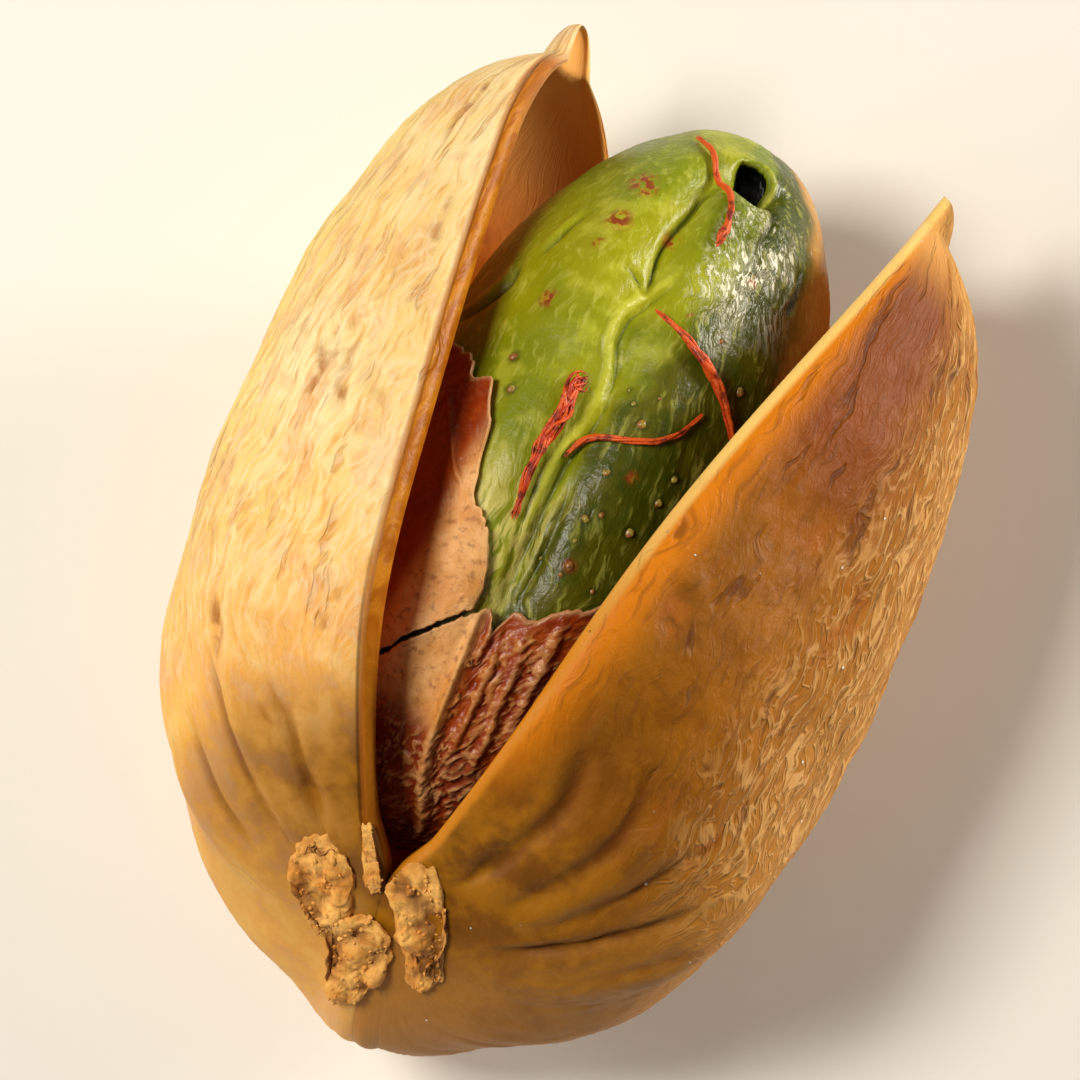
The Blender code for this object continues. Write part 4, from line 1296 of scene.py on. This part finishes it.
flap_to_edge = np.minimum.reduce([
    (1.0 - flap_up) * flap_long, flap_up * flap_long,
    (1.0 - flap_across) * flap_wide, flap_across * flap_wide])
skin = kernel_points(flap_along, flap_turn)
flap_fold = fold_ridge(skin, FLAP_FOLD, *FLAP_FOLD_SIZE)
outer, inner = coat_sheet(flap_along, flap_turn, flap_to_edge, flap_fold)
tan_part = smooth((flap_turn - TAN_FROM + 0.5 * np.clip(-0.36 - flap_along, 0.0, 1.0)) / 0.14)
tan_part = tan_part * (0.35 + 0.65 * smooth((TAN_TOP - flap_along) / 0.10))
flap_marks = {
    "drawn": [FLAP_DRAWN * np.ones_like(low)] * 2, "red": [1.0 - tan_part] * 2,
    "ridge": [flap_fold] * 2, "to_edge": [flap_to_edge] * 2,
    "outer": [np.ones_like(low), np.zeros_like(low)]}
flap = piece_from("coat_flap", grid_mesh("coat_flap", [outer + STOOD, inner + STOOD], flap_marks))

# %% Wrinkle tree for the coat
def coat_wrinkles(material):
    net = Grower("coat wrinkles", {"Wrinkle depth": 0.065, "Scratch depth": 0.035, "Seed": 2})
    spot, seed = net.place(), net.size("Seed") * 3.7
    sway = net.noise(spot, 1.6, 2.0) - 0.5
    across, along, up = (spot.part(axis) for axis in "XYZ")
    drawn_way = net.way(across + sway * 0.9 - along * 0.25, along * 0.5 + seed, up * 0.9 + sway * 0.4)
    cells = abs(net.noise(drawn_way, 2.6, 2.0, 0.5, 0.8) - 0.5).between(0.0, 0.08, 1.0, 0.0)
    lines = abs(net.noise(drawn_way, 5.5, 2.0, 0.5, 0.6) - 0.5).between(0.0, 0.10, 1.0, 0.0)
    soft = net.noise(drawn_way, 1.7, 2.0)
    drawn = net.mark("drawn") * net.mark("to_edge").between(0.05, 0.5, 0.2, 1.0)
    scratch = net.noise(spot, 3.0, 3.0, 0.6) - 0.5
    height = (cells * soft * 1.8 + lines * 0.6) * drawn * net.size("Wrinkle depth")
    height = height + scratch * 2.0 * net.size("Scratch depth")
    marked = net.store(net.geometry, "height", height * net.mark("outer"))
    net.close(net.raised(marked, net.mark("height")), material)
    return net


# %% Coat finish
def coat_finish():
    net = Finish("seed coat", Roughness=0.5, IOR=1.42)
    red, ridge, height = net.mark("red"), net.mark("ridge"), net.mark("height")
    broad = net.noise(net.place(), 0.8, 4.0, 0.6)
    fine = net.noise(net.place(), 5.0, 3.0, 0.6)
    tan = net.mix(broad.between(0.35, 0.65), paint("F6BC78"), paint("DE984C"))
    tan = net.mix(fine.between(0.50, 0.70) * 0.55, tan, paint("84441A"))
    deep = net.mix(broad.between(0.35, 0.65), paint("84260A"), paint("A2440E"))
    deep = net.mix(fine.between(0.50, 0.75) * 0.4, deep, paint("B85E20"))
    # painted highlight: wrinkle crests and fold ridges are made paler, towards tan
    high = (height.between(0.02, 0.075) + ridge.between(0.05, 0.20)).least(1.0)
    share = (red * broad.between(0.20, 0.45, 0.7, 1.0)) * (1.0 - high * 0.55)
    skin = net.mix(share, tan, deep)
    skin = net.mix(net.mark("to_edge").between(0.16, 0.0) * 0.5, skin, paint("E0B078"))
    net.feed(Base_Color=skin, Roughness=0.5 - red * 0.24 + fine * 0.1)
    net.bump(net.noise(net.place(), 11.0, 3.0, 0.6) + fine * 0.6, 0.03, 0.6)
    return net.material


coat_material = coat_finish()
for piece, node in ((cup, "seed_coat_cup"), (flap, "seed_coat_flap")):
    piece.data.materials.append(coat_material)
    coat_wrinkles(coat_material).grow(piece)
    wear(piece, node)

# %% [markdown]
# ## Stalk remains: crumbly lumps
# Where the stalk broke off, three lumps of dry tissue and a thin flake cling to the stem end.
# Each is a dome on the shell's own rule, with its outline drawn in the plane across the axis.
# Crumbs grow on them by Geometry Nodes.

# %% Stalk sizes
SCAR_LUMPS = {
    # valve (0 on both), middle and half sizes across the axis, lean, height
    "stalk_scar_left": (LEFT, (-1.13, 0.83), (0.74, 1.02), 0.1, 0.24),
    "stalk_scar_middle": (0, (-0.37, -0.73), (0.86, 1.13), -0.57, 0.3),
    "stalk_scar_right": (RIGHT, (1.04, 0.62), (0.62, 1.38), 0.735, 0.22),
    "stalk_flake": (LEFT, (-0.03, 1.45), (0.24, 0.62), -0.12, 0.2),
}
STEM_END_REACH, HALVINGS = 0.3, 26
SCAR_FOOT, SCAR_RAGGED, SCAR_FINE_RAGGED, SCAR_SEED = -0.12, 0.2, 0.10, 20.0
LUMP_ROUND, LUMP_RINGS, LUMP_WELD = 150, 76, 0.00002


def on_stem_end(spot, lift, side):
    """Points of the stem end that are spot (across, up) from its middle."""
    v = np.abs(np.arctan2(side * spot[..., 0], spot[..., 1])) / math.pi
    low, high = np.zeros_like(v), np.full_like(v, STEM_END_REACH)
    for _ in range(HALVINGS):
        t = (low + high) / 2
        point = closed_shell(t, v, side, 0.0)
        nearer = np.hypot(point[..., 0], point[..., 2] - BASE_RISE) < np.linalg.norm(spot, axis=-1)
        low, high = np.where(nearer, t, low), np.where(nearer, high, t)
    raised = closed_shell(t, v, side, broad_relief(t, v, side) + folds(t, v, side) + lift)
    return pitched(swung(raised, side)) + STOOD


def scar_lump(name):
    """A ball that is flattened onto the stem end, with a ragged outline and a foot in the shell."""
    valve, middle, halves, lean, height = SCAR_LUMPS[name]
    round_it, down_it = np.linspace(-math.pi, math.pi, LUMP_ROUND), np.linspace(0.0, math.pi, LUMP_RINGS)
    turn, ring = np.meshgrid(round_it, down_it)
    unit = np.stack([np.sin(ring) * np.cos(turn), np.sin(ring) * np.sin(turn), np.cos(ring)], -1)
    seed = np.array([0.0, 0.0, height * SCAR_SEED])
    ragged = 1.0 + SCAR_RAGGED * perlin(unit * 2.2 + seed) + SCAR_FINE_RAGGED * perlin(unit * 6.0 + seed)
    flat = unit[..., :2] * np.array(halves) * ragged[..., None]
    lean_by = np.array([[math.cos(lean), -math.sin(lean)], [math.sin(lean), math.cos(lean)]])
    spot = flat @ lean_by.T + np.array(middle)
    hollowed = name == "stalk_scar_left"
    dish = 0.45 + 0.75 * smooth((np.sin(ring) - 0.35) / 0.4) if hollowed else 1.0
    rise = np.clip(unit[..., 2], 0.0, None) ** 0.6 * height * dish
    foot = SCAR_FOOT * np.clip(-unit[..., 2], 0.0, None) ** 0.5
    if valve:
        points = on_stem_end(spot, rise + foot, valve)
    else:
        on_left, on_right = (on_stem_end(spot, rise + foot, side) for side in both)
        points = np.where(spot[..., :1] < 0.0, on_left, on_right)
    marks = {"top": [smooth(unit[..., 2] / 0.5)]}
    return piece_from(name + "_dry", grid_mesh(name + "_dry", [points], marks), LUMP_WELD)


lumps = {name: scar_lump(name) for name in SCAR_LUMPS}

# %% Crumb tree
def crumbs(material):
    net = Grower("stalk crumbs", {
        "Crumb depth": 0.30, "Fine depth": 0.07, "Density": 7.0, "Crumb size": 0.07, "Seed": 1})
    spot, top = net.place(), net.mark("top")
    warp = (net.noise(spot, 2.5, 2.0) - 0.5) * 0.4
    bumps = 1.0 - net.cells(spot + warp, 1.35) * 1.3
    small = 1.0 - net.cells(spot + warp * 1.5, 4.2) * 1.2
    height = ((bumps - 0.4) * net.size("Crumb depth") + (small - 0.4) * net.size("Fine depth")) * top
    base = net.raised(net.store(net.geometry, "height", height), net.mark("height"))
    spread = net.node("GeometryNodeDistributePointsOnFaces", {}, {
        "Mesh": base, "Density": net.size("Density") * 1e6 * top, "Seed": net.size("Seed")})
    crumb = net.wire("GeometryNodeMeshIcoSphere", {}, {
        "Radius": net.size("Crumb size") * MM, "Subdivisions": 2}, "Mesh")
    shape = net.noise(net.place(), 9.0, 2.0) - 0.5
    crumb = net.raised(crumb, shape * 0.09)
    scale = net.wire("FunctionNodeRandomValue", {"data_type": "FLOAT_VECTOR"}, {
        "Min": (0.3, 0.3, 0.2), "Max": (1.2, 1.0, 0.8), "Seed": net.size("Seed")})
    twist = net.wire("FunctionNodeRandomValue", {"data_type": "FLOAT_VECTOR"}, {
        "Min": (0.0, 0.0, 0.0), "Max": (math.tau, math.tau, math.tau), "Seed": net.size("Seed")})
    placed = net.wire("GeometryNodeInstanceOnPoints", {}, {
        "Points": Wire(net, spread.outputs["Points"]), "Instance": crumb, "Rotation": twist, "Scale": scale})
    placed = net.store(net.realized(placed), "height", 0.1)
    joined = net.tree.nodes.new("GeometryNodeJoinGeometry")
    for part in (base, placed):
        net.tree.links.new(part.socket, joined.inputs["Geometry"])
    net.close(Wire(net, joined.outputs["Geometry"]), material)
    return net


# %% Stalk finish
def stalk_finish():
    net = Finish("stalk tissue", Roughness=0.72)
    height = net.mark("height")
    broad = net.noise(net.place(), 1.4, 4.0, 0.6)
    fine = net.noise(net.place(), 7.0, 3.0, 0.6)
    tan = net.mix(broad.between(0.35, 0.65), paint("F2B65C"), paint("D68C30"))
    tan = net.mix(fine.between(0.5, 0.7) * 0.35, tan, paint("9A6020"))
    # painted shade: the low hollows between crumbs are made darker
    tan = net.mix(height.between(0.03, -0.12) * 0.75, tan, paint("7E480F"))
    net.feed(Base_Color=tan)
    net.bump(fine + net.noise(net.place(), 18.0, 3.0, 0.6) * 0.4, 0.04, 0.7)
    return net.material


stalk_material = stalk_finish()
for number, (name, lump) in enumerate(lumps.items()):
    lump.data.materials.append(stalk_material)
    changed = {"Crumb_depth": 0.05, "Density": 10.0, "Crumb_size": 0.045} if name == "stalk_flake" else {}
    crumbs(stalk_material).grow(lump, Seed=number + 1, **changed)
    wear(lump, name)

# %% [markdown]
# ## Red threads: bundles of fibre
# Each thread is a dry shred of fibres with frayed ends. A path follows the kernel's skin, and
# Geometry Nodes lays strands along it: copies of the path, each pushed off it by its own slow
# noise, a little more at the ends.

# %% Thread paths
THREADS = {
    # points along each thread: along, turn, radius
    "red_thread_top": (
        (0.89, -0.47, 0.05), (0.87, -0.25, 0.09), (0.845, -0.05, 0.10), (0.78, 0.17, 0.10),
        (0.725, 0.25, 0.10), (0.66, 0.28, 0.16), (0.63, 0.27, 0.06)),
    "red_thread_right": (
        (0.415, 0.155, 0.04), (0.385, 0.30, 0.09), (0.355, 0.43, 0.12), (0.335, 0.53, 0.15),
        (0.31, 0.63, 0.12), (0.265, 0.75, 0.10), (0.225, 0.85, 0.09), (0.20, 0.95, 0.05)),
    "red_thread_left": (
        (0.165, 0.02, 0.07), (0.13, -0.02, 0.20), (0.07, 0.01, 0.20), (-0.02, 0.0, 0.17),
        (-0.12, 0.01, 0.12), (-0.18, 0.03, 0.08), (-0.225, 0.04, 0.04)),
    "red_thread_low": (
        (-0.03, 0.125, 0.04), (0.01, 0.145, 0.10), (0.045, 0.19, 0.11), (0.065, 0.31, 0.09),
        (0.085, 0.40, 0.08), (0.11, 0.49, 0.09), (0.16, 0.57, 0.07), (0.23, 0.63, 0.04)),
}
THREAD_CLEAR, THREAD_STEPS, DEEPEST_DIP = 0.06, 7, -0.05


def thread_path(name):
    """The thread's middle line as a curve, with its radius at each point."""
    along, turn, radius = smooth_line(THREADS[name], THREAD_STEPS).T
    lift = np.maximum(kernel_creases(along, turn), DEEPEST_DIP) + THREAD_CLEAR + radius
    points = kernel_points(along, turn, lift) + STOOD
    curve = bpy.data.curves.new(name + "_fibres", "CURVE")
    curve.dimensions = "3D"
    spline = curve.splines.new("POLY")
    spline.points.add(len(points) - 1)
    for point, place, size in zip(spline.points, points * MM, radius):
        point.co = (*place, 1.0)
        point.radius = size
    return put(name + "_fibres", curve)


# %% Strand tree
THINNEST_STRAND = 0.018


def strands(material):
    net = Grower("thread strands", {
        "Strands": 9, "Strand share": 0.42, "Spread": 0.75, "Fray": 0.9, "Seed": 1})
    radius = net.wire("GeometryNodeInputRadius")
    share = net.wire("GeometryNodeSplineParameter", output="Factor")
    ends = abs(share - 0.5).between(0.38, 0.5)
    copies = net.node("GeometryNodeDuplicateElements", {"domain": "SPLINE"}, {
        "Geometry": net.geometry, "Amount": net.size("Strands")})
    copy = Wire(net, copies.outputs["Duplicate Index"])
    marked = net.store(Wire(net, copies.outputs["Geometry"]), "strand", copy)
    strand = net.mark("strand")
    where = net.way(share * 3.0, strand * 7.31 + net.size("Seed") * 1.7, 0.0)
    push = (net.noise(where, 1.0, 2.0, output="Color") - 0.5).scaled(4.0)
    reach = radius * net.size("Spread") * (1.0 + ends * net.size("Fray")) * MM
    moved = net.moved(marked, push.scaled(reach))
    thin = (radius * net.size("Strand share")).top(THINNEST_STRAND) * (1.0 - ends * 0.45) * MM
    ring = net.wire("GeometryNodeCurvePrimitiveCircle", {"mode": "RADIUS"}, {
        "Resolution": 7, "Radius": 1.0}, "Curve")
    tubes = net.wire("GeometryNodeCurveToMesh", {}, {
        "Curve": moved, "Profile Curve": ring, "Scale": thin, "Fill Caps": True})
    smoothed = net.wire("GeometryNodeSetShadeSmooth", {}, {"Geometry": tubes, "Shade Smooth": True})
    net.close(smoothed, material)
    return net


# %% Thread finish
def thread_finish():
    net = Finish("red thread", Roughness=0.42)
    strand = net.mark("strand")
    tone = net.noise(net.place(), 3.5, 3.0, 0.6)
    own = (strand * 12.9898).sine() * 0.5 + 0.5
    red = net.mix(own, paint("B02804"), paint("DE5A10"))
    red = net.mix(tone.between(0.48, 0.64) * 0.8, red, paint("5E0C02"))
    net.feed(Base_Color=red)
    net.bump(net.noise(net.place(), 16.0, 3.0, 0.6), 0.03, 0.7)
    return net.material


thread_material = thread_finish()
thread_looks = {
    "red_thread_left": {"Strands": 22, "Strand_share": 0.25, "Spread": 1.1, "Fray": 1.4},
    "red_thread_right": {"Spread": 0.95, "Fray": 0.5}}
for number, name in enumerate(THREADS):
    thread = strands(thread_material).grow(thread_path(name), Seed=number + 1, **thread_looks.get(name, {}))
    wear(thread, name)
